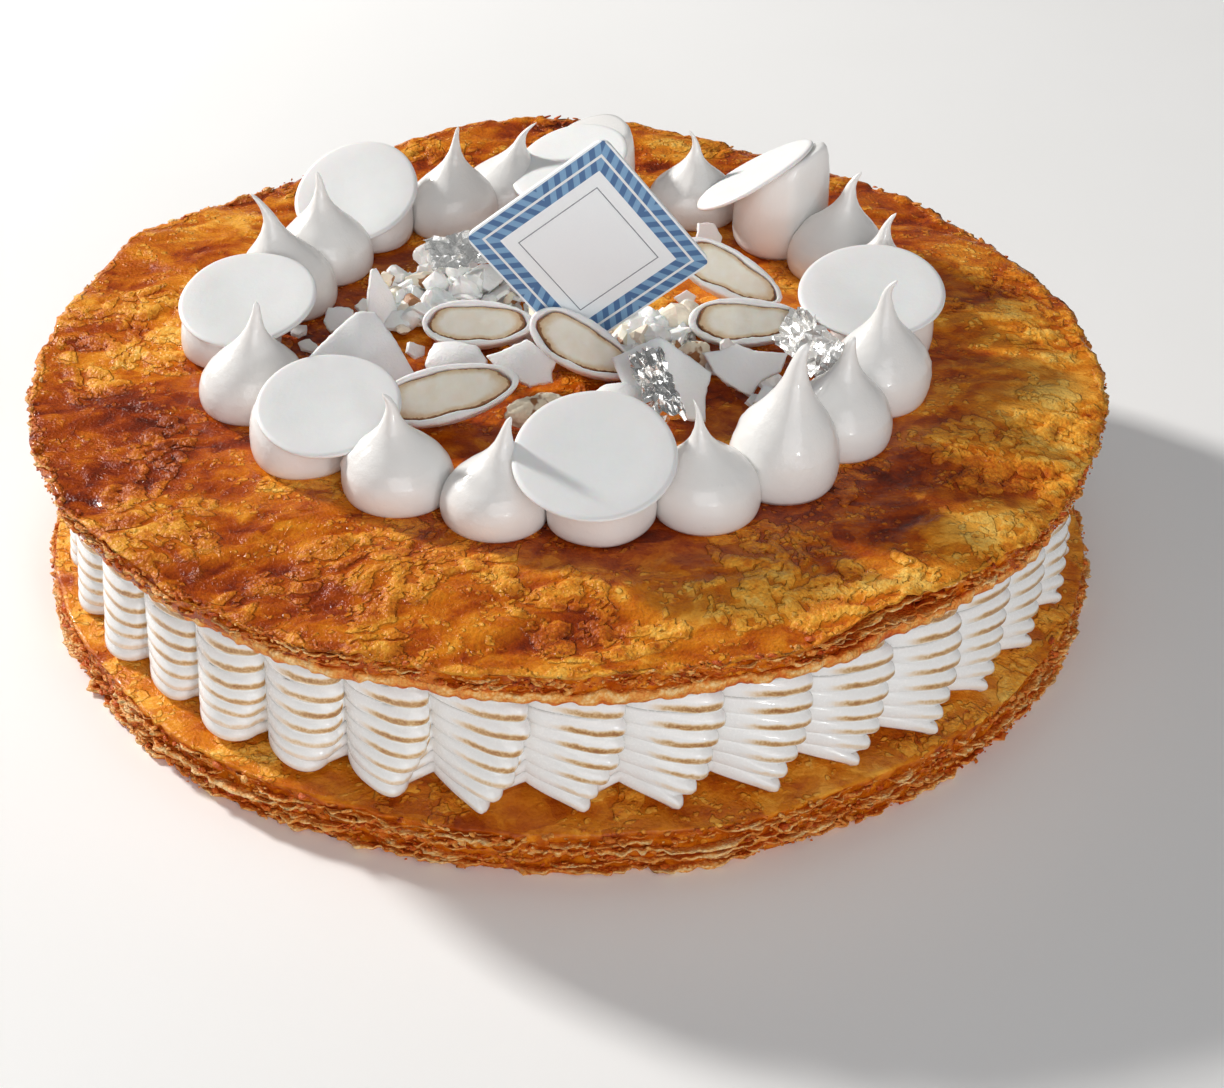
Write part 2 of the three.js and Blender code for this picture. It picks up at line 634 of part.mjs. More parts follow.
// A lump with few faces, its corners pushed in and out at random.
function lumpGeometry(radii, seed) {
  const random = randomSource(seed);
  const geometry = new THREE.IcosahedronGeometry(1, 0);
  geometry.deleteAttribute('normal');
  geometry.deleteAttribute('uv');
  const lump = mergeVertices(geometry);
  const { position } = lump.attributes;
  for (let i = 0; i < position.count; i += 1) {
    const push = 0.75 + 0.35 * random();
    position.setXYZ(
      i,
      position.getX(i) * radii[0] * push,
      position.getY(i) * radii[1] * push,
      position.getZ(i) * radii[2] * push,
    );
  }
  lump.computeVertexNormals();
  return lump;
}

function fragmentMesh({ at, radii, turn }, number) {
  const geometry = lumpGeometry(radii, 30 + number);
  geometry.rotateZ(degrees(turn));
  geometry.computeBoundingBox();
  const position = new THREE.Vector3(at[0], at[1], TOPPING_FLOOR - geometry.boundingBox.min.z);
  return piece(`almond_fragment_${number}`, geometry, FINISHES.kernel(), position);
}

// ---------------------------------------------------------------- crumb heaps

// A low mound with chips fused on where they would lie, the tallest in the middle.
function heapGeometry({ reach, height, chips, seed }) {
  const random = randomSource(seed);
  const sides = 12;
  const ringOf = (share, up) => {
    const ring = [];
    for (let side = 0; side < sides; side += 1) {
      const angle = (2 * Math.PI * side) / sides;
      const uneven = share * (0.86 + 0.14 * Math.sin(3 * angle + seed) + 0.1 * (random() - 0.5));
      ring.push([uneven * reach[0] * Math.cos(angle), uneven * reach[1] * Math.sin(angle), up]);
    }
    return ring;
  };
  const core = 0.62 * height;
  const rings = [ringOf(0.95, 0), ringOf(0.93, 0.25 * core), ringOf(0.55, 0.85 * core)];
  let heap = toSolid(ringBody([0, 0, 0], rings, [0, 0, core]));
  for (let chip = 0; chip < chips; chip += 1) {
    const angle = 2.4 * chip;
    const share = 0.74 * Math.sqrt((chip + 0.4) / chips);
    const ground = core * (1 - share ** 2);
    const size = 1.8 + 1.3 * random();
    const bit = new THREE.BoxGeometry(2.1 * size, 1.4 * size, 0.9 * size);
    bit.rotateX(random() - 0.5);
    bit.rotateY(random() - 0.5);
    bit.rotateZ(Math.PI * random());
    const lift = Math.max(1.35 * size, ground + 0.15 * size);
    bit.translate(share * reach[0] * Math.cos(angle), share * reach[1] * Math.sin(angle), lift);
    heap = heap.add(toSolid(bit));
  }
  return toGeometry(largestPart(heap));
}

// ---------------------------------------------------------------- assembly

const cake = new THREE.Group();
const rooms = []; // what is already taken on the crust

function lay(mesh) {
  cake.add(mesh);
  rooms.push(roomFor(mesh));
}

cake.add(piece('bottom_pastry', bottomPastry(), FINISHES.pastry()));
cake.add(piece('meringue_filling', meringueFilling(), FINISHES.meringue()));
cake.add(piece('top_pastry', topPastry(), FINISHES.pastry()));

ALMONDS.forEach((almond, i) => {
  const shell = sugarShell(almond);
  const { position, rotation } = almondPlace(almond, shell);
  const coat = fitAround(piece(`almond_sugar_${i + 1}`, shell, FINISHES.sugar(), position, rotation), rooms);
  const seat = new THREE.Vector3(0, 0, -KERNEL_RECESS).applyEuler(rotation).add(position);
  cake.add(coat);
  cake.add(piece(`almond_kernel_${i + 1}`, kernel(almond), FINISHES.kernel(), seat, rotation));
  rooms.push(almondRoom(almond, coat));
});

const cardTurn = new THREE.Matrix4()
  .makeRotationX(degrees(90 - CARD_LEAN))
  .multiply(new THREE.Matrix4().makeRotationZ(degrees(CARD_TURN)));
const cardRotation = new THREE.Euler().setFromRotationMatrix(cardTurn);
lay(fitAround(piece('card', cardGeometry(), FINISHES.card(), CARD_MIDDLE, cardRotation), rooms));

FLAT_KISSES.forEach((flat, i) => lay(fitAround(discMesh(flat, i + 1), rooms)));

LEAVES.forEach((leaf, i) => {
  const { position, rotation } = placement(leaf);
  const geometry = leafGeometry(leaf, 50 + i);
  const mesh = piece(`silver_leaf_${i + 1}`, geometry, FINISHES.silver(), position, rotation);
  lay(fitAround(restOnCrust(mesh), rooms));
});

SHARDS.forEach((shard, i) => {
  const { position, rotation } = placement(shard);
  const geometry = shardGeometry(shard, 70 + i);
  const mesh = piece(`sugar_shard_${i + 1}`, geometry, FINISHES.sugar(), position, rotation);
  lay(fitAround(restOnCrust(mesh), rooms));
});

FRAGMENTS.forEach((fragment, i) => lay(fitAround(fragmentMesh(fragment, i + 1), rooms)));

KISSES.forEach((place, i) => {
  const name = `kiss_${String(i + 1).padStart(2, '0')}`;
  lay(fitAround(ringPiece(name, kiss(place, onRing(place)), place), rooms));
});

FLAT_KISSES.forEach((place, i) => {
  lay(fitAround(ringPiece(`flat_kiss_${i + 1}`, flatKiss(place, onRing(place)), place), rooms));
});

HEAPS.forEach((heap) => {
  const position = new THREE.Vector3(heap.at[0], heap.at[1], TOPPING_FLOOR);
  lay(fitAround(piece(heap.name, heapGeometry(heap), FINISHES.crumb(), position), rooms));
});

// The origin goes to the middle of the footprint.
const outline = new THREE.Box3().setFromObject(cake, true);
const footprint = outline.getCenter(new THREE.Vector3());
cake.position.set(-footprint.x, -footprint.y, 0);
cake.updateMatrixWorld(true);

export default cake;
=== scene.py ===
# %% [markdown]
# # A galette with a piped meringue layer
# Two rounds of caramelised puff pastry hold a thick band of piped meringue. A ring of meringue
# kisses and thin discs stands on the crust, round split sugared almonds, broken sugar shell,
# crumbs, silver leaf and a small card. The packed part gives every size and place. This lesson
# dresses it piece by piece: the shape in numpy arrays, then the finish in shader nodes.

# %% Load the packed part
import math

import bpy
import numpy as np
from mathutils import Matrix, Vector


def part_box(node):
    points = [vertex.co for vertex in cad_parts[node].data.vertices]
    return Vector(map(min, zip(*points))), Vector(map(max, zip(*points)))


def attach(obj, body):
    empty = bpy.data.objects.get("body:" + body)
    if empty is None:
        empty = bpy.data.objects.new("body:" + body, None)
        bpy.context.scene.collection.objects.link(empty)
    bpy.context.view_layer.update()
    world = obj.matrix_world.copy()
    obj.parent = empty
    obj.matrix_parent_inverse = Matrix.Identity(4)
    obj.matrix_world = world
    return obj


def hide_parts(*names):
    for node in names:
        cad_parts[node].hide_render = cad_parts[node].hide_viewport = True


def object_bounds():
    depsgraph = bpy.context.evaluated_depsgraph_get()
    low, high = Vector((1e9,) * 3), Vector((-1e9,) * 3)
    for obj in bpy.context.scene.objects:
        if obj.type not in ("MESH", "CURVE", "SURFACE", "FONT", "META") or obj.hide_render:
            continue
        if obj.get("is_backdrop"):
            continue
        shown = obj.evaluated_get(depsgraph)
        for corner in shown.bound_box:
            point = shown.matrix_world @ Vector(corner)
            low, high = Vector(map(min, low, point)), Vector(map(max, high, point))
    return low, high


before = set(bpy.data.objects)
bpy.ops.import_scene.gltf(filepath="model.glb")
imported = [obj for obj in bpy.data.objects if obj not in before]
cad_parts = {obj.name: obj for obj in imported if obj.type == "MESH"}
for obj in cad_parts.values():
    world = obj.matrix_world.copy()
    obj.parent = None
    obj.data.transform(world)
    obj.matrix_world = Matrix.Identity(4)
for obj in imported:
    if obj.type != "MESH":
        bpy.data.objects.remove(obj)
cad_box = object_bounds()
print("packed nodes:", len(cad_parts))

# %% [markdown]
# The part is in metres, but a baker thinks in millimetres, so all shapes are worked out in
# millimetres about the cake's own upright axis. The piped band is a regular ring, so the middle
# of its box is that axis.

# %% Measures taken from the part
MM = 0.001


def box_mm(node):
    """Lowest and highest corner of a node, in millimetres."""
    low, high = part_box(node)
    return np.array(low) / MM, np.array(high) / MM


band_low, band_high = box_mm("meringue_filling")
AXIS = (band_low + band_high) / 2 * [1, 1, 0]
BAND_FOOT, BAND_TOP = band_low[2], band_high[2]
BOTTOM_TOP = box_mm("bottom_pastry")[1][2]
CRUST_UNDER = box_mm("top_pastry")[0][2]
STAND = box_mm("kiss_01")[0][2]  # the level on which the toppings stand
CRUST_TOP = STAND - 0.3
print("axis", AXIS.round(2), "band", BAND_FOOT.round(2), BAND_TOP.round(2), "crust", CRUST_TOP.round(2))


def mesh_points(mesh):
    """A mesh's points, in millimetres about the cake's axis."""
    flat = np.empty(len(mesh.vertices) * 3)
    mesh.vertices.foreach_get("co", flat)
    return flat.reshape(-1, 3) / MM - AXIS


def node_points(node):
    return mesh_points(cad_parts[node].data)


# %% [markdown]
# ## Camera, floor and lights
# The camera looks down at about 34 degrees from half a metre away, a normal view of a cake on a
# table. A ready-made sky could light the cake in one go, but four plain lamps can each be set one
# by one: a bright one behind the left side draws the form and throws the shadows, a broad one fills
# the front, a small low one gives the meringue its glints, and one overhead lifts the toppings.

# %% Camera
CAMERA_DISTANCE, CAMERA_RISE = 500, math.radians(33.86)
CAMERA_YAW, CAMERA_PITCH, CAMERA_ROLL = math.radians(1.25), math.radians(-0.39), math.radians(0.76)
SENSOR_WIDTH, LENS = 36, 64.3


def unit(vector):
    vector = np.asarray(vector, float)
    return vector / np.linalg.norm(vector)


def add_camera():
    eye = CAMERA_DISTANCE * np.array([0, -math.cos(CAMERA_RISE), math.sin(CAMERA_RISE)])
    ahead = unit(-eye)
    right = np.cross(ahead, [0, 0, 1])
    above = np.cross(right, ahead)
    ahead = unit(ahead + math.tan(CAMERA_YAW) * right + math.tan(CAMERA_PITCH) * above)
    right = unit(np.cross(ahead, [0, 0, 1]))
    above = np.cross(right, ahead)
    cosine, sine = math.cos(CAMERA_ROLL), math.sin(CAMERA_ROLL)
    turned_right, turned_up = cosine * right + sine * above, cosine * above - sine * right
    data = bpy.data.cameras.new("camera")
    data.sensor_width, data.lens = SENSOR_WIDTH, LENS
    data.clip_start, data.clip_end = 0.01, 20
    camera = bpy.data.objects.new("camera", data)
    matrix = camera.matrix_world.to_4x4()
    for column, axis in enumerate([turned_right, turned_up, -ahead, (eye + AXIS) * MM]):
        for row in range(3):
            matrix[row][column] = axis[row]
    camera.matrix_world = matrix
    bpy.context.scene.collection.objects.link(camera)
    bpy.context.scene.camera = camera
    print("camera at", camera.matrix_world.translation)


add_camera()

# %% Lamps and sky
LAMP_AIM = Vector((0, 0, 0.04))
# Each lamp: where it is in metres, the side of its square, its power in watts and its colour.
LAMPS = {
    "key": ((-1.25, 0.86, 0.82), 0.18, 35.0, (1.0, 0.975, 0.94)),
    "fill": ((0.3, -1.75, 0.9), 1.5, 15.8, (0.99, 0.995, 1.0)),
    "glint": ((0.65, -1.6, 0.34), 0.20, 3.0, (1.0, 1.0, 1.0)),
    "overhead": ((0, 0, 1.7), 1.6, 1.5, (1.0, 1.0, 1.0)),
}
SKY_COLOUR, SKY_STRENGTH = (0.97, 0.98, 1.0, 1), 0.15

for name, (place, side, power, colour) in LAMPS.items():
    data = bpy.data.lights.new(name, "AREA")
    data.size, data.energy, data.color = side, power, colour
    lamp = bpy.data.objects.new(name, data)
    lamp.location = place
    lamp.rotation_euler = (LAMP_AIM - Vector(place)).to_track_quat("-Z", "Y").to_euler()
    bpy.context.scene.collection.objects.link(lamp)
world = bpy.data.worlds.new("sky")
bpy.context.scene.world = world
world.use_nodes = True
world.node_tree.nodes["Background"].inputs["Color"].default_value = SKY_COLOUR
world.node_tree.nodes["Background"].inputs["Strength"].default_value = SKY_STRENGTH
bpy.context.scene.view_settings.view_transform = "Standard"
print("lamps", *LAMPS)

# %% [markdown]
# ## Shader maths
# Nodes can be drawn by hand, but long sums of masks soon tangle. Here a finish is written as sums
# and products: `Tint` wraps one socket, an expression on tints adds Math nodes, and `node` adds any
# other node. Every finish then reads like a formula.


# %% Colours as on a screen
def paint(red, green, blue):
    """A colour given as on a screen, 0 to 255, turned to the linear values that nodes use."""
    screen = np.array([red, green, blue]) / 255
    linear = np.where(screen <= 0.04045, screen / 12.92, ((screen + 0.055) / 1.055) ** 2.4)
    return (*linear.tolist(), 1.0)


print("half grey in linear light", round(paint(128, 128, 128)[0], 3))


# %% One small class for shader values
class Tint:
    """One socket of a material, with arithmetic."""

    def __init__(self, tree, socket=None):
        self.tree = tree
        self.socket = socket

    def node(self, kind, settings=None, sockets=None, output=0):
        """Adds a node: its settings first, then what its sockets hold."""
        made = self.tree.nodes.new("ShaderNode" + kind)
        for name, value in (settings or {}).items():
            if name == "stops":
                stops = made.color_ramp.elements
                stops[0].position, stops[-1].position = value[0][0], value[-1][0]
                stops[0].color, stops[-1].color = paint(*value[0][1]), paint(*value[-1][1])
                for place, colour in value[1:-1]:
                    stops.new(place).color = paint(*colour)
            else:
                setattr(made, name, value)
        for name, value in (sockets or {}).items():
            if isinstance(value, Tint):
                self.tree.links.new(value.socket, made.inputs[name])
            else:
                made.inputs[name].default_value = value
        return Tint(self.tree, made.outputs[output])

    def maths(self, operation, first, second=0.0):
        return self.node("Math", {"operation": operation}, {0: first, 1: second})

    def __add__(self, other):
        return self.maths("ADD", self, other)

    __radd__ = __add__

    def __sub__(self, other):
        return self.maths("SUBTRACT", self, other)

    def __rsub__(self, other):
        return self.maths("SUBTRACT", other, self)

    def __mul__(self, other):
        return self.maths("MULTIPLY", self, other)

    __rmul__ = __mul__

    def __abs__(self):
        return self.maths("ABSOLUTE", self)

    def step(self, low, high):
        """0 below low, 1 above high, smooth between; low may be the larger."""
        sockets = {"Value": self, "From Min": low, "From Max": high}
        return self.node("MapRange", {"interpolation_type": "SMOOTHSTEP"}, sockets)

    def blend(self, low, high):
        """The colour low where this is 0, and high where it is 1."""
        low, high = (shade if isinstance(shade, Tint) else paint(*shade) for shade in (low, high))
        return self.node("Mix", {"data_type": "RGBA"}, {0: self, 6: low, 7: high}, output=2)

    def ramp(self, stops):
        return self.node("ValToRGB", {"stops": stops}, {0: self})

    def own(self, name):
        """A value that the mesh stores at each of its points."""
        return self.node("Attribute", {"attribute_name": name}, output=2)

    def place(self, stretch=(1, 1, 1)):
        """Where a point is on the object, with its axes stretched."""
        return self.node("Mapping", None, {"Vector": self.node("TexCoord", output=3), "Scale": stretch})

    def bent(self, size, amount):
        """This place pushed about by soft noise, its lumps and the push in millimetres."""
        sockets = {"Vector": self, "Scale": 1 / (size * MM), "Detail": 1.0}
        lumps = self.node("TexNoise", None, sockets, 1)
        push = self.node("VectorMath", {"operation": "SUBTRACT"}, {0: lumps, 1: (0.5, 0.5, 0.5)})
        amounts = (2 * amount * MM,) * 3
        return self.node("VectorMath", {"operation": "MULTIPLY_ADD"}, {0: push, 1: amounts, 2: self})

    def grain(self, size, detail=2.0, place=None):
        """Noise from 0 to 1 with lumps of a size in millimetres."""
        place = place or self.place()
        sockets = {"Vector": place, "Scale": 1 / (size * MM), "Detail": detail}
        return self.node("TexNoise", None, sockets)

    def cells(self, size, place=None, output=0):
        """Scattered cells, size millimetres apart. Output 0 is the distance to a cell's middle,
        output 1 the cell's own random tone."""
        sockets = {"Vector": place or self.place(), "Scale": 1 / (size * MM)}
        return self.node("TexVoronoi", {"feature": "F1"}, sockets, output)

    def bump(self, height, distance):
        """A normal from a height; distance is in millimetres."""
        sockets = {"Height": height, "Distance": distance * MM, "Strength": 1.0}
        return self.node("Bump", None, sockets)


print("a Tint can", *[name for name in vars(Tint) if not name.startswith("_")])

# %% [markdown]
# ## Floor
# A cake on white needs only a big pale plane. A curved studio sweep would hide the horizon, which
# this view from above doesn't show. A faint unevenness keeps the plane from looking like paper.


# %% Floor and its finish
def finish(name, build, **constants):
    """A material from values that hold everywhere and, from build, those that vary."""
    material = bpy.data.materials.new(name)
    material.use_nodes = True
    shader = material.node_tree.nodes["Principled BSDF"]
    for socket, value in constants.items():
        shader.inputs[socket.replace("_", " ")].default_value = value
    for socket, value in build(Tint(material.node_tree)).items():
        material.node_tree.links.new(value.socket, shader.inputs[socket])
    print("finish", name, "nodes", len(material.node_tree.nodes))
    return material


def floor_build(tint):
    colour = tint.grain(60, 3).blend((250, 250, 249), (252, 252, 252))
    return {"Base Color": colour, "Roughness": 0.55 + 0.1 * tint.grain(25)}


bpy.ops.mesh.primitive_plane_add(size=8)
floor = bpy.context.object
floor.name = "floor"
floor.data.materials.append(finish("pale_floor", floor_build))
floor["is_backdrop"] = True

# %% [markdown]
# ## Shapes from arrays
# Sculpting would give the same soft forms, but numbers give the same form at every run and follow
# the packed part when it changes. So all shapes here are grids of points bent into place. Two kinds
# of seeded noise roughen them: smooth lumps, and a scatter of round cells for blisters.


# %% Noise in numpy
def hashed(cell, seed):
    """A number from 0 to 1 for each cell, the same at every run."""
    mixed = cell[..., 0] * 374761393 + cell[..., 1] * 668265263 + cell[..., 2] * 974634777
    mixed = (mixed + seed * 1274126177) & 0xFFFFFFFF
    mixed = ((mixed ^ (mixed >> 13)) * 1274126177) & 0xFFFFFFFF
    mixed = ((mixed ^ (mixed >> 16)) * 2246822519) & 0xFFFFFFFF
    return (mixed >> 8) / 0xFFFFFF


def noise(points, size, seed=0):
    """Smooth noise from -1 to 1 with lumps about size across."""
    place = np.asarray(points, float) / size
    cell = np.floor(place).astype(np.int64)
    part = place - cell
    part = part**3 * (part * (part * 6 - 15) + 10)
    total = 0
    for corner in np.ndindex(2, 2, 2):
        weight = np.where(corner, part, 1 - part).prod(axis=-1)
        total = total + weight * hashed(cell + corner, seed)
    return total * 2 - 1


def rough(points, size, seed=0, octaves=3):
    """Noise with finer noise on top, each octave half as large and half as strong."""
    return sum(noise(points, size / 2**k, seed + 31 * k) / 2**k for k in range(octaves))


def scatter_cells(points, size, seed=0):
    """For each point on a level sheet: distance to the nearest cell's middle, as a share of the
    size, and that cell's own random number."""
    place = np.asarray(points, float)[..., :2] / size
    cell = np.floor(place).astype(np.int64)
    nearest = np.full(place.shape[:-1], 9.0)
    own = np.zeros(place.shape[:-1])
    for step in np.ndindex(3, 3):
        near = cell + np.array(step) - 1
        key = np.concatenate([near, np.zeros_like(near[..., :1])], axis=-1)
        middle = near + np.stack([hashed(key, seed), hashed(key, seed + 1)], axis=-1)
        away = np.linalg.norm(place - middle, axis=-1)
        own = np.where(away < nearest, hashed(key, seed + 2), own)
        nearest = np.minimum(away, nearest)
    return nearest, own


def smooth_step(low, high, value):
    part = np.clip((value - low) / (high - low), 0, 1)
    return part * part * (3 - 2 * part)


print("noise at three places", noise([[0.3, 0, 0], [1.5, 0, 0], [2.2, 0, 0]], 1).round(2))


# %% Rings and turns
def around(columns):
    """Even angles once round."""
    return np.linspace(0, 2 * math.pi, columns, endpoint=False)


def ring(radius, angle, height):
    """Points on a ring, each with its own radius and height."""
    shape = np.broadcast(radius, angle, height).shape
    return np.stack(
        [radius * np.cos(angle), radius * np.sin(angle), np.broadcast_to(height, shape)], axis=-1
    )


def unit_rows(vectors):
    return vectors / np.linalg.norm(vectors, axis=-1, keepdims=True)


def turn_about(axis, angle):
    """Rows of a turn by an angle about X, Y or Z, which are 0, 1 and 2."""
    first, second = (axis + 1) % 3, (axis + 2) % 3
    rows = np.eye(3)
    rows[first, first] = rows[second, second] = math.cos(angle)
    rows[first, second], rows[second, first] = math.sin(angle), -math.sin(angle)
    return rows


print("a turn of 30 degrees about Z", turn_about(2, math.radians(30)).round(2).tolist())


# %% Faces of grids and turned shapes
def grid_faces(rows, columns, closed=True):
    """The quads of a grid of points; closed joins the last column to the first."""
    row, column = np.meshgrid(
        np.arange(rows - 1), np.arange(columns if closed else columns - 1), indexing="ij"
    )
    after = (column + 1) % columns
    quads = [
        row * columns + column,
        row * columns + after,
        (row + 1) * columns + after,
        (row + 1) * columns + column,
    ]
    return np.stack(quads, -1).reshape(-1, 4).tolist()


def fan_faces(columns, middle, first, upwards):
    """Triangles from a ring of points to one point in its middle."""
    faces = []
    for column in range(columns):
        pair = [first + column, first + (column + 1) % columns]
        faces.append([*(pair if upwards else pair[::-1]), middle])
    return faces


def closed_faces(rows, columns, downwards=False):
    """Faces of a turned body: rings of points, then the two points that close its ends. The rings
    run from the foot up, or downwards from the top."""
    count = rows * columns
    faces = grid_faces(rows, columns)
    if downwards:
        faces = [face[::-1] for face in faces]
    faces += fan_faces(columns, count, 0, downwards)
    return faces + fan_faces(columns, count + 1, count - columns, not downwards)


def lathe(rows, first_point, last_point, downwards=False):
    """Points and faces of a turned body, closed by a point before its rings and one after."""
    points = np.concatenate([*rows, [first_point], [last_point]])
    return points, closed_faces(len(rows), len(rows[0]), downwards)


print("faces round 3 rings of 8 points", len(closed_faces(3, 8)))


# %% Making pieces
def add_piece(name, points, faces, material, slot, nodes=(), **values):
    """Makes a piece from points in millimetres about the axis. It rides on the cake, and stands
    for the nodes named. Further values are stored at each point for its finish."""
    mesh = bpy.data.meshes.new(name)
    mesh.from_pydata(((np.asarray(points) + AXIS) * MM).tolist(), [], faces)
    for value_name, value in values.items():
        stored = mesh.attributes.new(value_name, "FLOAT", "POINT")
        stored.data.foreach_set("value", np.asarray(value, float).ravel())
    mesh.materials.append(material)
    mesh.shade_smooth()
    mesh.update()
    piece = bpy.data.objects.new(name, mesh)
    bpy.context.scene.collection.objects.link(piece)
    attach(piece, "root")
    if nodes:
        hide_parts(*nodes)
    print(name, "points", len(points), "faces", len(faces))
    return piece


# %% Many small shapes in one piece
class Batch:
    """Gathers many small shapes into one mesh."""

    def __init__(self):
        self.points, self.faces, self.values, self.count = [], [], {}, 0

    def add(self, points, faces, **values):
        points = np.asarray(points, float).reshape(-1, 3)
        self.points.append(points)
        self.faces += [[corner + self.count for corner in face] for face in faces]
        for name, value in values.items():
            spread = np.broadcast_to(np.asarray(value, float).ravel(), len(points))
            self.values.setdefault(name, []).append(spread)
        self.count += len(points)

    def piece(self, name, material, slot, nodes=()):
        values = {key: np.concatenate(value) for key, value in self.values.items()}
        return add_piece(name, np.concatenate(self.points), self.faces, material, slot, nodes, **values)


# %% [markdown]
# ## Pastry
# Puff pastry bakes into many thin leaves. Its glazed face blisters: domes catch the light and stay
# golden, while sugar pools between them and turns dark. At the rim the leaves separate and end in
# ragged edges. A displaced plain disc could give the face but not the leaves, so the face is one
# fine grid with that relief, and the rim is a stack of thin leaf rings, each with its own ragged
# outline.

# %% Outline of a round, read from its node
RIM_STEPS = 72
RIM_WIDTH = 4  # how far in from its outline a round counts as rim


def round_edge(node):
    """Radius, upper height and lower height of a round's rim, as functions of the angle."""
    points = node_points(node)
    angles = np.arctan2(points[:, 1], points[:, 0])
    radii = np.hypot(points[:, 0], points[:, 1])
    bins = np.round(angles / (2 * math.pi) * RIM_STEPS).astype(int) % RIM_STEPS
    table = np.zeros((3, RIM_STEPS))
    for step in range(RIM_STEPS):
        mine = points[bins == step]
        reach = radii[bins == step]
        rim = mine[reach > reach.max() - RIM_WIDTH, 2]
        table[:, step] = reach.max(), rim.max(), rim.min()

    def at(row):
        def look_up(angle):
            place = np.asarray(angle) / (2 * math.pi) * RIM_STEPS
            low = np.floor(place).astype(int)
            part = place - low
            part = part * part * (3 - 2 * part)
            after = (low + 1) % RIM_STEPS
            return table[row][low % RIM_STEPS] * (1 - part) + table[row][after] * part

        return look_up

    print(node, "radius", table[0].min().round(1), "to", table[0].max().round(1))
    return at(0), at(1), at(2)


# %% Relief of the glazed face
def bend_sheet(flat, size, amount, seed):
    """Shifts points sideways by noise, so that what is drawn on them looks grown, not laid out."""
    shift = [noise(flat, size, seed + k) for k in (0, 1)]
    return flat + amount * np.stack([*shift, np.zeros_like(shift[0])], axis=-1)


# Where the skin is painted golden (below 0) or dark (above 0): the middle in X and Y, the reach in X
# and Y, and how much. Most are blistered patches and dark pools of caramel, but some are painted
# light and shade. The golden ones at the front right are made stronger to offset the toppings' shade.
# The one in front of the kisses lights up their cast shadow. The dark ones at the right front stand
# partly for kiss shadows. The two broad dark ones at the left tone down where the key lamp shines
# brightest.
TONE_AND_LIGHT_FIELDS = [
    (34, -95, 24, 9, -0.58), (62, -84, 17, 11, -0.62), (80, -66, 13, 10, -0.50),
    (101, -32, 10, 22, -0.56),
    (96, 4, 14, 8, -0.20), (-95, -3, 16, 9, -0.32), (-77, 61, 18, 12, -0.26), (-60, -60, 14, 7, -0.30),
    (-13, -97, 4, 9, -0.34), (-45, -77, 16, 4, -0.16), (-100, -42, 6, 14, -0.20), (0, 98, 30, 8, -0.10),
    (24, -80, 14, 6, 0.10), (0, -86, 36, 8, -0.20), (58, -70, 12, 5, 0.28), (-89, -27, 14, 6, 0.22),
    (-75, -40, 40, 50, 0.12),
    (-50, -90, 16, 6, 0.12), (86, -50, 8, 6, 0.14), (60, 80, 20, 10, 0.10), (-75, 40, 40, 45, 0.08),
]
RIDGE_SIZE, RIDGE_STRETCH = 6.0, 3.4
RIDGE_TURN = np.array([[0.94, 0.34, 0], [-0.34, 0.94, 0], [0, 0, 1]])
BLISTERS = ((5.4, 11), (3.4, 14), (2.2, 17))  # the spacing of each kind and its seed
SHEET_LEVELS = (-0.42, -0.12, 0.16, 0.46)  # where a sheet of the top leaf ends


def tone_and_light_field(points):
    """How golden or dark a place is painted, from the list of fields: the skin's own patches, and some
    painted light and shade.
    """
    field = np.zeros_like(points[..., 0])
    for at_x, at_y, reach_x, reach_y, much in TONE_AND_LIGHT_FIELDS:
        away = ((points[..., 0] - at_x) / reach_x) ** 2 + ((points[..., 1] - at_y) / reach_y) ** 2
        field = field + much * np.exp(-away)
    return field


def blisters(sheet):
    """Domes of three sizes, 1 at the top of the largest."""
    clump = np.zeros_like(sheet[..., 0])
    for size, seed in BLISTERS:
        away, own = scatter_cells(sheet, size, seed)
        dome = np.sqrt(np.clip(1 - (away / (0.22 + 0.26 * own)) ** 2, 0, None))
        clump = np.maximum(clump, dome * (own > 0.36) * math.sqrt(size / BLISTERS[0][0]))
    return clump


print("gold or dark, left and right", tone_and_light_field(np.array([[-60.0, -60, 0], [60, -60, 0]])).round(2))


# %% Height and colour of the glazed face
def face_relief(points):
    """Height of the skin over its mean level, how dark it is baked, with the fields' painted light and
    shade in it, and how blistered it is, both from 0 to 1."""
    flat = points * [1, 1, 0]
    bent = bend_sheet(flat, 22, 5, 5)
    torn_sheet = bend_sheet(bend_sheet(flat, 9, 2.6, 30), 2.6, 0.9, 33)
    swell = 0.40 * noise(flat, 38, 1) + 0.30 * noise(bent, 15, 2)
    # Long low ridges run across the round.
    lane = torn_sheet @ RIDGE_TURN.T / [RIDGE_STRETCH, 1, 1]
    ridge = rough(lane, RIDGE_SIZE, 3, 3) / 1.3
    # Blisters gather in patches, their outlines pulled out of round.
    field = tone_and_light_field(torn_sheet)
    patch = smooth_step(0.12, 0.42, noise(bent, 17, 7) + 0.6 * noise(bent, 6, 8) - 1.6 * field)
    clump = blisters(torn_sheet) * patch
    # Sheets of the top leaf end in steps with ragged edges.
    sheet = rough(torn_sheet / [1.6, 1, 1], 17, 21, 3)
    steps = sum(smooth_step(level, level + 0.03, sheet) for level in SHEET_LEVELS)
    relief = swell + 0.42 * ridge + 0.75 * clump + 0.30 * (steps - 2) + 0.12 * noise(flat, 1.5, 23)
    pool = smooth_step(0.05, -0.55, ridge + 0.4 * noise(bent, 7, 24))
    dark = 0.45 + 0.05 * noise(flat, 46, 25) + 0.10 * noise(bent, 14, 26) + 0.16 * pool + 0.7 * field
    dark = dark - 0.07 * (steps - 2) - 0.10 * ridge + 0.12 * noise(torn_sheet, 2.4, 27)
    return relief, np.clip(dark, 0, 1), clump


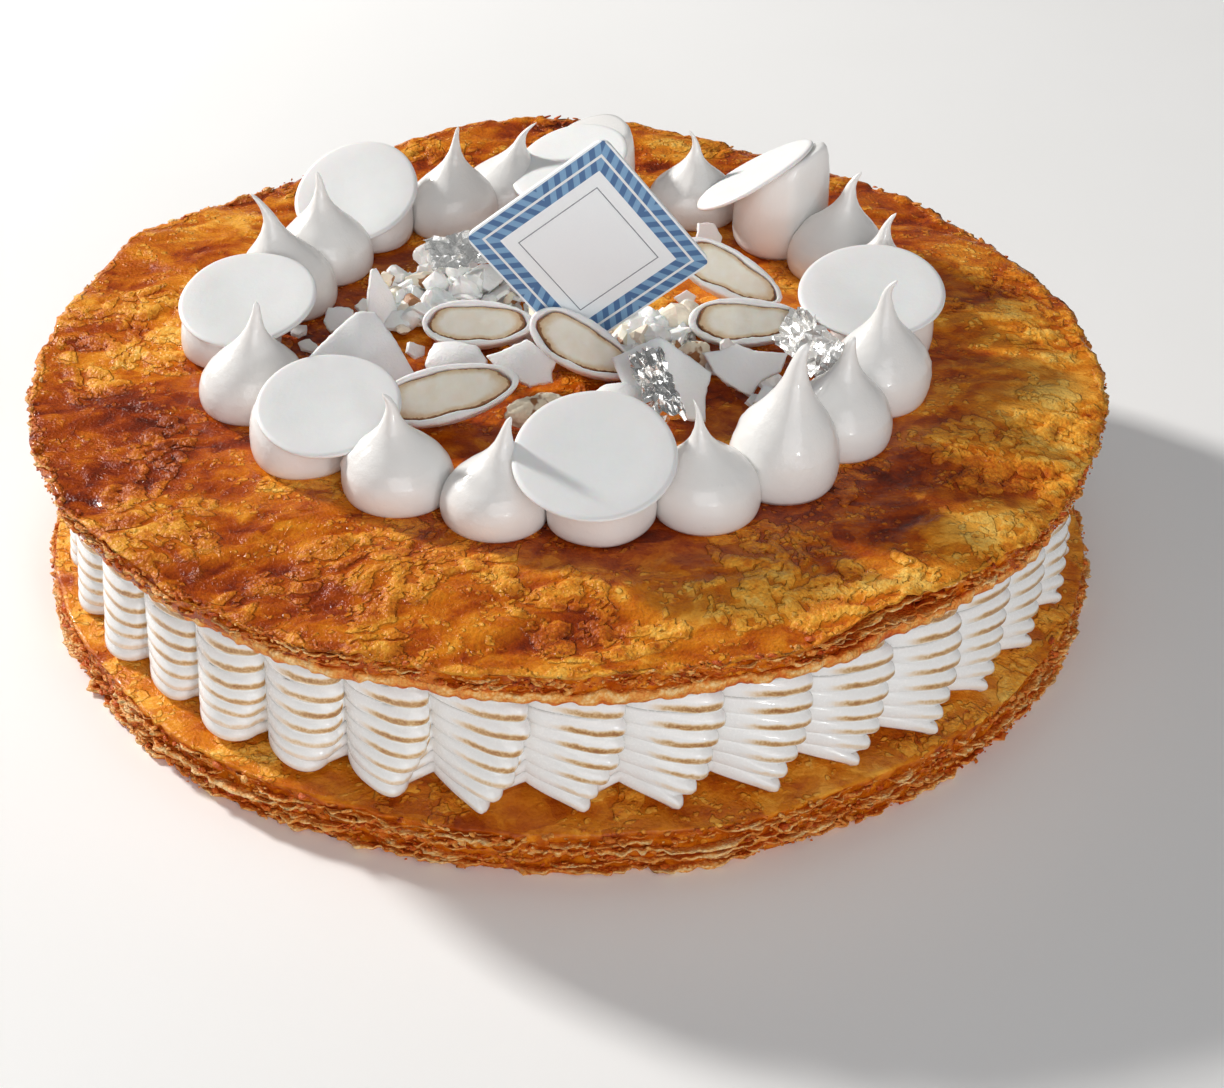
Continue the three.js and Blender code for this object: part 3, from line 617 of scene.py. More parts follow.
print("height, dark and blistered at the axis", np.round(face_relief(np.zeros((1, 3))), 2).tolist())


# %% Leaves of the rim
LEAF_COLUMNS = 1200
LEAF_REACH = 5.0  # how far a leaf goes back into the rim
RIM_ANGLE = around(LEAF_COLUMNS)
# A leaf in section: share of its reach, share of its half thickness, and how toasted. The pale edge
# is the dry leaf's own colour; the darker part back in the rim is partly painted shade for the recess.
LEAF_SECTION = [
    (0.0, 1.0, 0.62), (0.72, 1.0, 0.46), (0.94, 0.9, 0.28), (1.0, 0.35, 0.14),
    (1.0, -0.35, 0.18), (0.94, -0.9, 0.36), (0.6, -1.0, 0.62),
]


def leaf_ring(batch, rim, level, layer, thick, toast, ragged=1.0):
    """One leaf round the rim, given by its radius and height at every angle. Its crumbly edge
    stands out, breaks off and rises by turns."""
    place = ring(rim, RIM_ANGLE, np.full_like(RIM_ANGLE, 19.0 * layer))
    out = 0.9 * noise(place, 23, 40) + 1.1 * noise(place, 8, 41) + 0.9 * noise(place, 3.1, 42)
    broken = smooth_step(0.25, 0.55, noise(place, 6, 53)) * ragged
    out = ragged * np.minimum(out + 0.9 * noise(place, 1.3, 43) - 0.4, 0.8) - 1.6 * broken
    # painted shade: where the edge stands back into the rim it is painted darker, where it stands out a
    # little lighter
    deep = np.clip(-0.14 * out, -0.1, 0.4)
    lift = 0.35 * noise(place, 27, 44) + 0.25 * noise(place, 8, 45)
    droop = ragged * (0.5 * noise(place, 11, 46) + 0.3 * noise(place, 2.6, 49))
    half = thick / 2 * (1 + ragged * (0.5 * noise(place, 5, 50) + 0.6 * noise(place, 1.6, 51)))
    rows, shade = [], []
    for share, side, brown in LEAF_SECTION:
        face = place + [0, 0, 3 * side]
        crumb = noise(face, 1.1, 47) + 0.8 * noise(face, 2.3, 52)
        radius = rim - LEAF_REACH * (1 - share) + out * share + 0.45 * ragged * crumb * share
        height = level + lift + droop * share**4 + side * half + 0.22 * crumb * share
        height = height - 1.6 * (1 - share) ** 0.7
        rows.append(ring(radius, RIM_ANGLE, height))
        shade.append(brown + toast + deep + 0.30 * noise(place + [0, 0, 5 * side], 2.8, 48))
    faces = [face[::-1] for face in grid_faces(len(rows), LEAF_COLUMNS)]
    batch.add(np.concatenate(rows), faces, toast=np.clip(np.concatenate(shade), 0, 1))


print("a leaf has", len(LEAF_SECTION), "rings of", LEAF_COLUMNS)


# %% Loose flakes along the rim
FLAKE_CORNERS = 6
FLAKE_COUNT = 2200
FLAKE_TILT = 0.45
FLAP_CLEAR = 0.4  # a flap that rises further than this is kept free of flakes


def flake(random, size):
    """A scrap of leaf: a thin slab with an uneven outline and a raised middle."""
    angle = around(FLAKE_CORNERS)
    reach = size * (0.5 + 0.5 * random.random(FLAKE_CORNERS))
    half = 0.08 + 0.10 * size * random.random()
    slant = 0.25 * (random.random(FLAKE_CORNERS) - 0.5) * size
    outline = ring(reach, angle, 0) * [0.6, 1, 0]
    rows = [outline + np.outer(slant + side * half, [0, 0, 1]) for side in (1, -1)]
    return lathe(rows, [0, 0, 1.6 * half], [0, 0, -1.6 * half], downwards=True)


def rim_flakes(batch, seed, radius_at, low_at, high_at, flap_at):
    """Scatters flakes over a rim, but leaves a flap clear."""
    random = np.random.default_rng(seed)
    for _ in range(FLAKE_COUNT):
        angle = random.random() * 2 * math.pi
        if flap_at(angle) > FLAP_CLEAR:
            continue
        size = 0.35 + 1.35 * random.random() ** 3
        height = low_at(angle) + (high_at(angle) - low_at(angle)) * random.random()
        radius = radius_at(angle) - 0.35 * size - 2.0 * random.random() ** 1.5
        points, faces = flake(random, size)
        spin = angle + 1.2 * (random.random() - 0.5)
        lean, side = FLAKE_TILT * (2 * random.random(2) - 1)
        points = points @ (turn_about(0, lean) @ turn_about(1, side) @ turn_about(2, spin))
        middle = [radius * math.cos(angle), radius * math.sin(angle), height]
        batch.add(points + middle, faces, toast=0.12 + 0.6 * random.random())


print("flakes on a rim, at most", FLAKE_COUNT)


# %% Wall and underside of a round
def add_wall(rows, dark, rim, foot, steps, inset_at, brown, seed, flap=0):
    """Adds rows from the edge of the face down to the foot of the rim, and how dark they are. A
    flap of the top leaf gapes over a wall that lies further back. The wall is painted lighter there,
    painted light that offsets the flap's shade."""
    top = rows[-1][:, 2]
    angle = around(len(rim))
    for part in np.linspace(0.08, 1, steps):
        height = top * (1 - part) + foot * part
        place = ring(rim, angle, height * 2.4)
        gape = smooth_step(0, 0.25, part) * flap
        inset = inset_at(part) - 0.5 * noise(place, 1.5, seed) + 1.6 * gape
        rows.append(ring(rim - inset, angle, height))
        # under a gaping flap the wall is painted lighter: painted light against the flap's shade
        dark.append(np.clip(brown + 0.25 * noise(place, 2, seed + 1) - 0.12 * gape, 0, 1))


def add_round(name, node, rows, dark, clumps, high, low):
    """Closes a round's rows with a point in its upper and its lower middle, and adds the piece."""
    points, faces = lathe(rows, [0, 0, high], [0, 0, low], downwards=True)
    toast = np.concatenate([*dark, [0.6, 0.6]])
    clump = np.concatenate(clumps)
    clump = np.pad(clump, (0, len(points) - len(clump)))
    add_piece(name, points, faces, crust_finish, name, [node], toast=toast, clump=clump)


# %% [markdown]
# Baked sugar is glossy and amber where it has run into pools, and grainy and golden on the
# blisters. The edges of the leaves are dry and pale. Pictures of a crust would blur close up and
# repeat, so noise makes the colours, led by what the mesh stores: how toasted and how blistered
# each point is.

# %% Finish of the glazed crust
CRUST_STOPS = [
    (0.00, (252, 178, 66)), (0.20, (226, 136, 28)), (0.40, (202, 104, 12)), (0.60, (172, 72, 6)),
    (0.80, (134, 46, 8)), (1.00, (92, 30, 10)),
]
CLUMP_STOPS = [
    (0.00, (255, 202, 98)), (0.25, (248, 172, 58)), (0.50, (226, 134, 32)), (0.75, (192, 92, 16)),
    (1.00, (148, 60, 12)),
]


def crust_build(tint):
    """Caramelised skin: glossy amber, dark pools, and granular golden clumps with crisp edges."""
    place = tint.place((0.62, 1, 1)).bent(11, 5.5).bent(3.2, 1.6)
    plates, scraps = tint.cells(9, place, output=1), tint.cells(3.6, place, output=1)
    fine, mottled = tint.grain(0.7, 4), tint.grain(3.2, 6, place)
    grit = tint.cells(0.9, tint.place().bent(0.9, 0.6))
    clump = (tint.own("clump") + 0.34 * (tint.grain(1.4, 4) - 0.5)).step(0.06, 0.24)
    beads = tint.cells(1.7, tint.place().bent(2.2, 1.2)).step(0.46, 0.30)
    beads = beads * tint.grain(5, 4, place).step(0.50, 0.60)
    toast = tint.own("toast") + 0.20 * (plates - 0.5) + 0.24 * (scraps - 0.5)
    toast = toast + 0.60 * (mottled - 0.5) + 0.30 * (fine - 0.5) - 0.10 * beads
    gold = toast + 0.22 * (grit - 0.3) + 0.5 * (tint.grain(1.1, 3) - 0.5)
    golden = tint.maths("MAXIMUM", clump, 0.8 * beads)
    height = clump * (0.6 + 0.35 * (1 - grit)) + 0.6 * beads + 0.6 * mottled + 0.5 * fine
    return {
        "Base Color": golden.blend(toast.ramp(CRUST_STOPS), gold.ramp(CLUMP_STOPS)),
        "Roughness": 0.07 + 0.12 * golden + 0.26 * tint.grain(1.6, 3),
        "Normal": tint.bump(height, 0.6),
    }


crust_finish = finish(
    "caramelised_crust", crust_build,
    Coat_Weight=0.12, Coat_Roughness=0.07, IOR=1.40, Specular_IOR_Level=0.20,
)

# %% Finish of the leaves
LEAF_STOPS = [
    (0.00, (248, 208, 146)), (0.20, (234, 162, 76)), (0.42, (220, 120, 34)), (0.64, (204, 88, 16)),
    (0.84, (170, 60, 8)), (1.00, (124, 40, 8)),
]


def leaf_build(tint):
    """Dry baked leaves: pale crumbly edges, orange to red brown inside, partly painted shade in the
    recesses.
    """
    fine = tint.grain(0.6, 3)
    crumbs = tint.cells(0.8)
    toast = tint.own("toast") + 0.50 * (fine - 0.5) + 0.35 * (tint.grain(3, 3) - 0.5)
    toast = toast + 0.25 * (crumbs - 0.45)
    return {
        "Base Color": toast.ramp(LEAF_STOPS),
        "Roughness": 0.38 + 0.3 * fine,
        "Normal": tint.bump(fine + 0.8 * (1 - crumbs), 0.45),
    }


leaf_finish = finish("flaky_leaves", leaf_build, IOR=1.4)

# %% [markdown]
# ### The top round
# Its face follows the packed rim, which is warped, and lies flat where the toppings stand. At the
# front right the top leaf has come away: it rises as a flap over the others. A Solidify modifier
# would thicken a face evenly, with no overhang, so the rings of the face go on over its edge, down
# the wall and back under the round.

# %% Face of the top round
TOP_COLUMNS = 760
FLAP_ANGLE, FLAP_HALF_WIDTH, FLAP_RISE = math.radians(-57), 0.11, 2.0
WARP_START = 88  # the radius from which the face follows the warped rim
BELT_INSIDE, BELT_OUTSIDE = (52, 58), (84, 78)  # the ring that kisses stand on is calmer
top_radius, top_edge, top_under = round_edge("top_pastry")


def flap_rise(angle):
    """How far the top leaf stands off the others at the rim."""
    away = (np.mod(angle - FLAP_ANGLE + math.pi, 2 * math.pi) - math.pi) / FLAP_HALF_WIDTH
    return FLAP_RISE * np.exp(-(away**2))


def crust_height(points):
    """Height of the glazed face of the top round, how dark it is baked, with the fields' painted
    light and shade, and how blistered it is.
    """
    angle = np.arctan2(points[..., 1], points[..., 0])
    radius = np.hypot(points[..., 0], points[..., 1])
    rim = top_radius(angle)
    blend = smooth_step(WARP_START, rim - 2, radius)
    base = CRUST_TOP + blend * (top_edge(angle) - CRUST_TOP - 0.1)
    base = base + flap_rise(angle) * smooth_step(rim - 16, rim - 1, radius)
    relief, dark, clump = face_relief(points)
    calm = 1 - 0.75 * smooth_step(*BELT_OUTSIDE, radius) * smooth_step(*BELT_INSIDE, radius)
    return base + np.minimum(relief * calm, 0.9), dark, clump


# %% Rings of the top round
def top_round():
    """The top round: its glazed face out to a crumbly edge, the wall under it and the underside."""
    angle = around(TOP_COLUMNS)
    rim = top_radius(angle)
    place = ring(rim, angle, 0)
    ragged = 0.2 + 0.55 * noise(place, 1.8, 64) + 0.6 * noise(place, 6, 65)
    rows, dark, clumps = [], [], []
    for share in [*np.linspace(0.004, 0.48, 28), *np.linspace(0.488, 1, 72)]:
        edge = ring(share * (rim - 1.2) + smooth_step(0.975, 1, share) * ragged, angle, 0)
        height, toast, clump = crust_height(edge)
        edge[:, 2] = height - 0.35 * smooth_step(0.985, 1, share)
        rows.append(edge)
        dark.append(toast)
        clumps.append(clump + 0.4 * smooth_step(0.983, 1.0, share + 0.012 * noise(place, 3, 66)))
    foot, flap = top_under(angle) + 0.4, flap_rise(angle)
    add_wall(rows, dark, rim, foot, 9, lambda part: 1.3 + 1.2 * math.sqrt(part), 0.52, 60, flap)
    for radius in (108, 102, 96, 50):
        rows.append(ring(radius, angle, CRUST_UNDER + 0.3 * noise(ring(radius, angle, 0), 5, 62)))
        dark.append(np.full(TOP_COLUMNS, 0.55))
    return rows, dark, clumps, crust_height(np.zeros((1, 3)))[0][0], CRUST_UNDER


add_round("top_crust", "top_pastry", *top_round())

# %% Leaves of the top round
# From the underside up: where a leaf lies in the rim, how far it stands back, its thickness, its
# toast and how ragged it is. The lowest is the pale underside, the highest the glazed face.
TOP_LEAVES = [
    (0.12, 1.0, 2.6, 0.02, 0.45), (0.34, 1.9, 0.5, 0.15, 1.0), (0.48, 1.2, 0.6, 0.05, 1.2),
    (0.62, 1.9, 0.5, 0.2, 1.0), (0.75, 0.9, 0.6, 0.0, 1.2), (0.88, 0.9, 0.6, 0.05, 1.0),
]
LIP_BACK, LIP_TURN = 4.5, math.radians(70)  # the pale underside shows at the front alone

top_leaves = Batch()
for layer, (share, back, thick, toast, ragged) in enumerate(TOP_LEAVES):
    lip = LIP_BACK * (layer == 0)
    rim = top_radius(RIM_ANGLE) - 0.2 - back - lip * (0.5 - 0.5 * np.cos(RIM_ANGLE + LIP_TURN))
    level = top_under(RIM_ANGLE) * (1 - share) + (top_edge(RIM_ANGLE) - 0.3) * share
    flaps = smooth_step(0.8, 0.9, share)
    level = level + (flaps - 0.35 * (1 - flaps) * share) * flap_rise(RIM_ANGLE)
    leaf_ring(top_leaves, rim, level, layer, thick, toast, ragged)
rim_flakes(
    top_leaves, 5, lambda angle: top_radius(angle) - 0.6,
    lambda angle: top_under(angle) + 2.2, lambda angle: top_edge(angle) - 0.4, flap_rise,
)
top_leaves.piece("top_crust_leaves", leaf_finish, "top_crust")

# %% [markdown]
# ### The bottom round
# Only the border outside the meringue shows. It bakes flatter and darker, and its leaves open all
# the way down to the table. A copy of the top round would show the same blisters twice, so this
# one is made anew in the same way, with more leaves and less relief.

# %% Face of the bottom round
BOTTOM_COLUMNS = 820
FACE_INSIDE = 97  # where the meringue hides the face
TABLE_GAP = 0.05
FAR_AWAY = [300, 120, 0]  # the relief is read elsewhere, so that the two rounds differ
bottom_radius, bottom_edge = round_edge("bottom_pastry")[:2]


def bottom_round():
    angle = around(BOTTOM_COLUMNS)
    rim = bottom_radius(angle)
    rows, dark = [ring(60, angle, BOTTOM_TOP)], [np.full(BOTTOM_COLUMNS, 0.5)]
    clumps = [np.zeros(BOTTOM_COLUMNS)]
    for share in np.linspace(0, 1, 22):
        radius = FACE_INSIDE + share * (rim - 98.6)
        edge = ring(radius, angle, 0)
        relief, toast, clump = face_relief(edge + FAR_AWAY)
        drop = smooth_step(104, rim - 1, radius) * (BOTTOM_TOP - bottom_edge(angle))
        edge[:, 2] = BOTTOM_TOP - drop + np.clip(0.55 * relief, -0.6, 0.25)
        rows.append(edge)
        clumps.append(clump)
        # this border is painted lighter than the top face: painted light that offsets the shade the top
        # round throws on it
        dark.append(np.clip(0.25 + 0.6 * (toast - 0.42), 0, 1))
    add_wall(rows, dark, rim, 0.15, 10, lambda part: 1.6 + 1.0 * part, 0.5, 70)
    rows.append(ring(rim - 6, angle, TABLE_GAP))
    dark.append(np.full(BOTTOM_COLUMNS, 0.6))
    return rows, dark, clumps, BOTTOM_TOP, TABLE_GAP


add_round("bottom_crust", "bottom_pastry", *bottom_round())

# %% Leaves of the bottom round
BOTTOM_LEAVES = 8
# Four kinds of leaf follow one another: how far they stand back, their thickness and their toast.
BOTTOM_LEAF_KINDS = ((0, 0.9, -0.06), (1.1, 0.6, 0.08), (0.2, 0.8, 0.0), (0.9, 0.5, 0.12))

bottom_leaves = Batch()
for layer in range(BOTTOM_LEAVES):
    share = (layer + 0.35) / BOTTOM_LEAVES
    back, thick, toast = BOTTOM_LEAF_KINDS[layer % 4]
    rim = bottom_radius(RIM_ANGLE) - 0.4 - back
    level = 0.9 + (bottom_edge(RIM_ANGLE) - 1.2) * share
    leaf_ring(bottom_leaves, rim, level, layer + 20, thick, toast)
rim_flakes(
    bottom_leaves, 6, lambda angle: bottom_radius(angle) - 0.3,
    lambda angle: 0.7, bottom_edge, lambda angle: 0,
)
bottom_leaves.piece("bottom_crust_leaves", leaf_finish, "bottom_crust")

# %% [markdown]
# ## The piped band
# Each shell is one stroke of a ribbed nozzle: it rises from the crease where the last shell ends
# and swells to a free edge. Its ribs are rounded under and slope back above, like clapboards, and
# their ends stand out as fingers. A curve swept by the nozzle's outline would be quick, but its
# ribs couldn't end at different places, so one grid of 38 shells and 8 ribs follows both profiles.

# %% Shells and ribs
SHELL_COUNT, RIB_COUNT = 38, 8
SHELL_COLUMNS, RIB_ROWS = 26, 10
CREASE_RADIUS = 105
BAND_INSIDE = 98  # how far in the hidden edges of the band go
BULGE_BOTTOM, BULGE_TOP = 6.0, 3.2
PITCH_BOTTOM, PITCH_TOP = 2.75, 4.4
RIB_END_SETBACK = [7, 5.1, 3, 1.8, 0.8, 0, 0.3, 1.9]
RIB_CREST = 0.42  # how far up its rib the crest lies
COMBED_SIDE, TOASTED_SIDE = math.radians(318), math.radians(222)
# A shell in plan, along the band and out of its crease: round where it was piped slowly, and
# fanned like a comb where the nozzle was dragged.
ROUND_PLAN = np.array([
    [0, 0], [0.025, 0.22], [0.07, 0.43], [0.14, 0.63], [0.24, 0.81], [0.36, 0.94], [0.49, 1.0],
    [0.62, 0.985], [0.74, 0.92], [0.84, 0.80], [0.92, 0.65], [0.975, 0.48], [1.0, 0.32], [1.01, 0.15],
])
FANNED_PLAN = np.array([
    [0, 0], [0.04, 0.08], [0.11, 0.20], [0.20, 0.34], [0.33, 0.53], [0.48, 0.71], [0.64, 0.87],
    [0.78, 0.96], [0.90, 1.0], [0.99, 0.97], [1.05, 0.86], [1.075, 0.66], [1.065, 0.42], [1.03, 0.2],
])


print("band points", SHELL_COUNT * SHELL_COLUMNS * RIB_COUNT * RIB_ROWS)


# %% Profile of the ribs
def rib_notch(rib):
    """Height of the notch under a rib, as a share of the band."""
    growth = (PITCH_TOP - PITCH_BOTTOM) / (RIB_COUNT - 1)

    def up_to(count):
        return count * PITCH_BOTTOM + growth * count * (count - 1) / 2

    return up_to(rib) / up_to(RIB_COUNT)


def rib_profile(part):
    """How far a rib stands out, 0 to 1, from its lower notch to its upper one."""
    under = np.sqrt(np.clip(1 - ((RIB_CREST - part) / RIB_CREST) ** 2, 0, 1))
    over = 1 - np.clip((part - RIB_CREST) / (1 - RIB_CREST), 0, 1) ** 2.3
    return np.where(part < RIB_CREST, under, over)


print("notches", [round(rib_notch(rib), 2) for rib in range(RIB_COUNT + 1)])


# %% Grid of the band
def band_grid():
    """Rows of the band from its foot up. Each point also keeps how high it is in ribs, how far
    along its shell, and how hot the torch was there."""
    shell = np.repeat(np.arange(SHELL_COUNT), SHELL_COLUMNS)
    swell = 1 + 0.12 * np.sin(2.4 * shell) + 0.08 * np.sin(5.1 * shell + 1)
    facing = 2 * math.pi * (shell + 0.5) / SHELL_COUNT
    combed = smooth_step(0.16, 0.60, np.cos(facing - COMBED_SIDE))
    toasted = smooth_step(0.3, 0.95, np.cos(facing - TOASTED_SIDE))
    path = np.tile(np.linspace(0, len(ROUND_PLAN) - 1, SHELL_COLUMNS), SHELL_COUNT)
    knots = np.arange(len(ROUND_PLAN))
    along, out = (
        np.interp(path, knots, ROUND_PLAN[:, k]) * (1 - combed)
        + np.interp(path, knots, FANNED_PLAN[:, k]) * combed
        for k in (0, 1)
    )
    length = 2 * math.pi * CREASE_RADIUS / SHELL_COUNT
    rows, stored = [], {"rib": [], "along": [], "heat": []}
    for rib in range(RIB_COUNT):
        wobble = 0.35 * np.sin(3.1 * shell + 1.7 * rib)
        uneven = 0.5 * np.sin(1.9 * shell + 2.2 * rib) * np.cos(0.7 * shell)
        for part in np.linspace(0, 1, RIB_ROWS):
            stand = rib_profile(part)
            height = rib_notch(rib) * (1 - part) + rib_notch(rib + 1) * part
            bulge = BULGE_BOTTOM + (BULGE_TOP - BULGE_BOTTOM) * height
            setback = RIB_END_SETBACK[rib] * (0.5 + 0.5 * combed) + wobble + 1.3 * (1 - stand) ** 1.5
            kept = 1 - setback / (along.max() * length)
            place = np.where(along > 1, along * kept, along * (1 + (kept - 1) * along))
            angle = 2 * math.pi * (shell + place) / SHELL_COUNT
            depth = (0.32 + (0.3 + 0.5 * combed) * smooth_step(0.1, 0.9, along)) * (1 - stand)
            radius = CREASE_RADIUS + bulge * swell * out - depth + 0.25
            lift = (2.0 + 1.3 * combed) * (1 - np.minimum(1, along)) ** (2.2 - 1.1 * combed)
            lift = lift + 1.1 * height * smooth_step(0.66, 1.05, along)
            tall = BAND_FOOT + (BAND_TOP - BAND_FOOT) * height + lift * (1 - height) ** 0.65
            points = ring(radius, angle, tall)
            points = points + 0.12 * noise(points, 6, 80)[:, None]
            points[:, 2] = np.clip(points[:, 2], BAND_FOOT - 0.2, BAND_TOP + 0.2)
            rows.append(points)
            stored["rib"].append(np.full(len(angle), rib + part))
            stored["along"].append(along)
            stored["heat"].append(0.5 + uneven + 0.45 * toasted)
    return rows, stored


def inner_ring(edge, height):
    """A ring behind an edge of the band, where the pastry hides it."""
    return ring(BAND_INSIDE, np.arctan2(edge[:, 1], edge[:, 0]), height)


rows, stored = band_grid()
rows = [inner_ring(rows[0], BAND_FOOT - 0.1), *rows, inner_ring(rows[-1], BAND_TOP + 0.1)]
plain = np.zeros(len(rows[0]))
band_values = {key: np.concatenate([plain, *value, plain, [0, 0]]) for key, value in stored.items()}
band_points, band_faces = lathe(rows, [0, 0, BAND_FOOT], [0, 0, BAND_TOP])
print("band faces", len(band_faces))

# %% [markdown]
# The torch touches only what stands out: a thin fuzzy line on the crest of each rib, stronger on
# the upper ribs and towards the free edge. A painted image would blur close up. The mesh stores
# where each point lies along its rib and shell, and the finish draws the line from that, so it
# stays sharp at any distance.

# %% Finish of the meringue
MERINGUE = (243, 242, 240)
MERINGUE_GLOW = {
    "Subsurface_Weight": 0.35, "Subsurface_Scale": 0.003, "Subsurface_Radius": (1.0, 0.95, 0.9),
    "IOR": 1.42, "Coat_Weight": 0.5, "Coat_Roughness": 0.05,
}


def meringue_normal(tint):
    return tint.bump(tint.grain(1.4, 3) + 0.35 * tint.grain(0.4, 2), 0.10)


def torched_build(tint):
    rib, along = tint.own("rib"), tint.own("along")
    place = tint.maths("FRACT", rib) - (RIB_CREST - 0.10)
    wander = 0.24 * (tint.grain(2.2, 3) - 0.5)
    away = abs(place + wander)
    speck = tint.grain(0.5, 2)
    reach = along.step(0.12, 0.62) * along.step(1.10, 1.0)
    upper = 0.40 + 0.70 * (rib * (1 / RIB_COUNT)).step(0.0, 0.55)
    heat = reach * upper * (0.6 + 0.5 * tint.own("heat"))
    heat = heat * (0.65 + 1.0 * tint.grain(6, 2))
    halo = away.step(0.42, 0.06) * heat * 0.5
    line = away.step(0.30, 0.05) * heat * (0.30 + 1.1 * speck)
    burnt = line.step(0.20, 0.95).blend((226, 190, 132), (150, 92, 36))
    colour = (halo + line).step(0.06, 0.95).blend(MERINGUE, burnt)
    return {"Base Color": colour, "Roughness": 0.18 + 0.16 * speck, "Normal": meringue_normal(tint)}


def meringue_build(tint):
    colour = tint.grain(7, 2).blend(MERINGUE, (239, 237, 234))
    roughness = 0.24 + 0.14 * tint.grain(3)
    return {"Base Color": colour, "Roughness": roughness, "Normal": meringue_normal(tint)}


torched = finish("torched_meringue", torched_build, **MERINGUE_GLOW)
meringue = finish("soft_meringue", meringue_build, **MERINGUE_GLOW)
add_piece(
    "meringue_band", band_points, band_faces, torched, "piped_meringue", ["meringue_filling"],
    **band_values,
)

# %% [markdown]
# ## Kisses
# A kiss is piped straight down and the nozzle drawn away, so a round belly narrows to a thin tip
# that bends as it falls. Each packed kiss gives its foot and its tip. A screw modifier would turn
# a profile about a straight axis; here the axis bends, so the rings are worked out one by one, and
# neighbours press each other flat.

# %% Kiss profile and places
KISS_RADIUS, FLAT_KISS_RADIUS = 10.8, 10.6
KISS_COLUMNS, KISS_LEVELS = 48, 46
FOOT_SINK = 0.35  # how deep a foot sits in the skin of the crust
KISS_OUTLINE = np.array([
    [0, 0.88], [0.03, 0.94], [0.08, 0.98], [0.15, 1.0], [0.22, 0.99], [0.30, 0.95], [0.39, 0.85],
    [0.48, 0.69], [0.57, 0.49], [0.66, 0.32], [0.75, 0.205], [0.84, 0.14], [0.91, 0.10],
    [0.96, 0.080], [0.985, 0.055], [1.0, 0.015],
])
KISS_NODES = sorted(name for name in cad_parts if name.startswith("kiss_"))
FLAT_NODES = sorted(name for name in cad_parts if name.startswith("flat_kiss_"))


def foot_middle(node):
    points = node_points(node)
    foot = points[points[:, 2] < points[:, 2].min() + 0.2]
    return foot.mean(axis=0)


ring_places = {node: foot_middle(node) for node in KISS_NODES + FLAT_NODES}
print("kisses", len(KISS_NODES), "flat kisses", len(FLAT_NODES))

# How each tip curls: sideways reach in X and Y, how early the curl starts, and how slim the neck is.
CURLS = {
    "kiss_01": (1.6, -0.4, 0.80, 0.20), "kiss_02": (1.8, 0.3, 0.82, 0.10),
    "kiss_03": (-2.6, 0.2, 0.76, 0.30),
    "kiss_04": (2.4, 0.5, 0.82, 0.25), "kiss_05": (0.3, 0.3, 0.85, 0.25),
    "kiss_06": (-0.5, 0, 0.85, 0.15),
    "kiss_07": (-3.2, 0.2, 0.74, 0.15), "kiss_08": (-0.4, 0, 0.85, 0.10),
    "kiss_09": (-1.6, -0.3, 0.84, 0.10),
    "kiss_10": (0.4, 0, 0.85, 0.12), "kiss_11": (-0.8, 0.2, 0.84, 0.45),
    "kiss_12": (1.2, 0.3, 0.82, -0.10),
    "kiss_13": (0.6, 0, 0.85, 0.0), "kiss_14": (2.2, -0.6, 0.84, 0.12),
}

# %% Pressing and piping
TOUCH_GAP = 0.1


def press_flat(points, node):
    """Pushes back what would cross half way to a neighbour, with a soft bend."""
    middle = ring_places[node]
    for other, place in ring_places.items():
        away = (place - middle)[:2]
        distance = np.linalg.norm(away)
        if other == node or distance > 2.4 * KISS_RADIUS:
            continue
        away = away / distance
        reach = (points[:, :2] - middle[:2]) @ away
        over = reach - (distance - TOUCH_GAP) / 2
        over = np.where(over > -0.8, (np.maximum(over + 0.8, 0)) ** 2 / (3.2 + np.maximum(over, 0)), 0)
        over = np.minimum(over, np.maximum(reach - (distance - TOUCH_GAP) / 2 + 0.4, 0) + 0.25)
        points[:, :2] -= np.maximum(over, 0)[:, None] * away
    return points


print("gap between pressed kisses", TOUCH_GAP)


# %% Piping the kisses
def add_kiss(node, number):
    middle = ring_places[node]
    corners = node_points(node)
    tip = corners[corners[:, 2].argmax()]
    height = tip[2] - middle[2]
    lean = (tip - middle)[:2]
    curl, curl_start, neck = np.array(CURLS[node][:2]), *CURLS[node][2:]
    angle = around(KISS_COLUMNS)
    rows = []
    for up in np.linspace(0, 1, KISS_LEVELS) ** 0.9:
        half = np.interp(up, KISS_OUTLINE[:, 0], KISS_OUTLINE[:, 1])
        half = half ** (1 + neck * smooth_step(0.22, 0.5, up))
        bend = max(0.0, up - curl_start) / (1 - curl_start)
        axis = lean * up**1.6 + curl * (bend**2 - up**4 * 0.6)
        uneven = 1 + 0.025 * np.sin(2 * angle + number) * math.sin(3 * up + number)
        fold = 0.07 * np.exp(-((np.sin((angle - 1.9 * number - 1.5 * up) / 2) / 0.07) ** 2))
        fold = fold * math.sin(math.pi * min(1, up * 1.15)) ** 2
        width = KISS_RADIUS * half * (uneven + fold * (number % 3 > 0))
        side = ring(width, angle, middle[2] - FOOT_SINK + (height + FOOT_SINK) * up)
        side[:, :2] += middle[:2] + axis
        rows.append(press_flat(side, node))
    top = rows[-1].mean(axis=0) + [0, 0, 0.08]
    points, faces = lathe(rows, [*middle[:2], middle[2] - FOOT_SINK], top)
    add_piece(node + "_piped", points, faces, meringue, "meringue_kiss", [node])


for number, node in enumerate(KISS_NODES):
    add_kiss(node, number)

# %% [markdown]
# ## Discs and the kisses under them
# Thin discs of dried meringue are pressed on some kisses while those are soft, so each lies at its
# own slope on a flattened cushion. A bevelled cylinder would look machined, so the disc is turned
# from a profile with rounded edges, dished a little and slightly out of round.


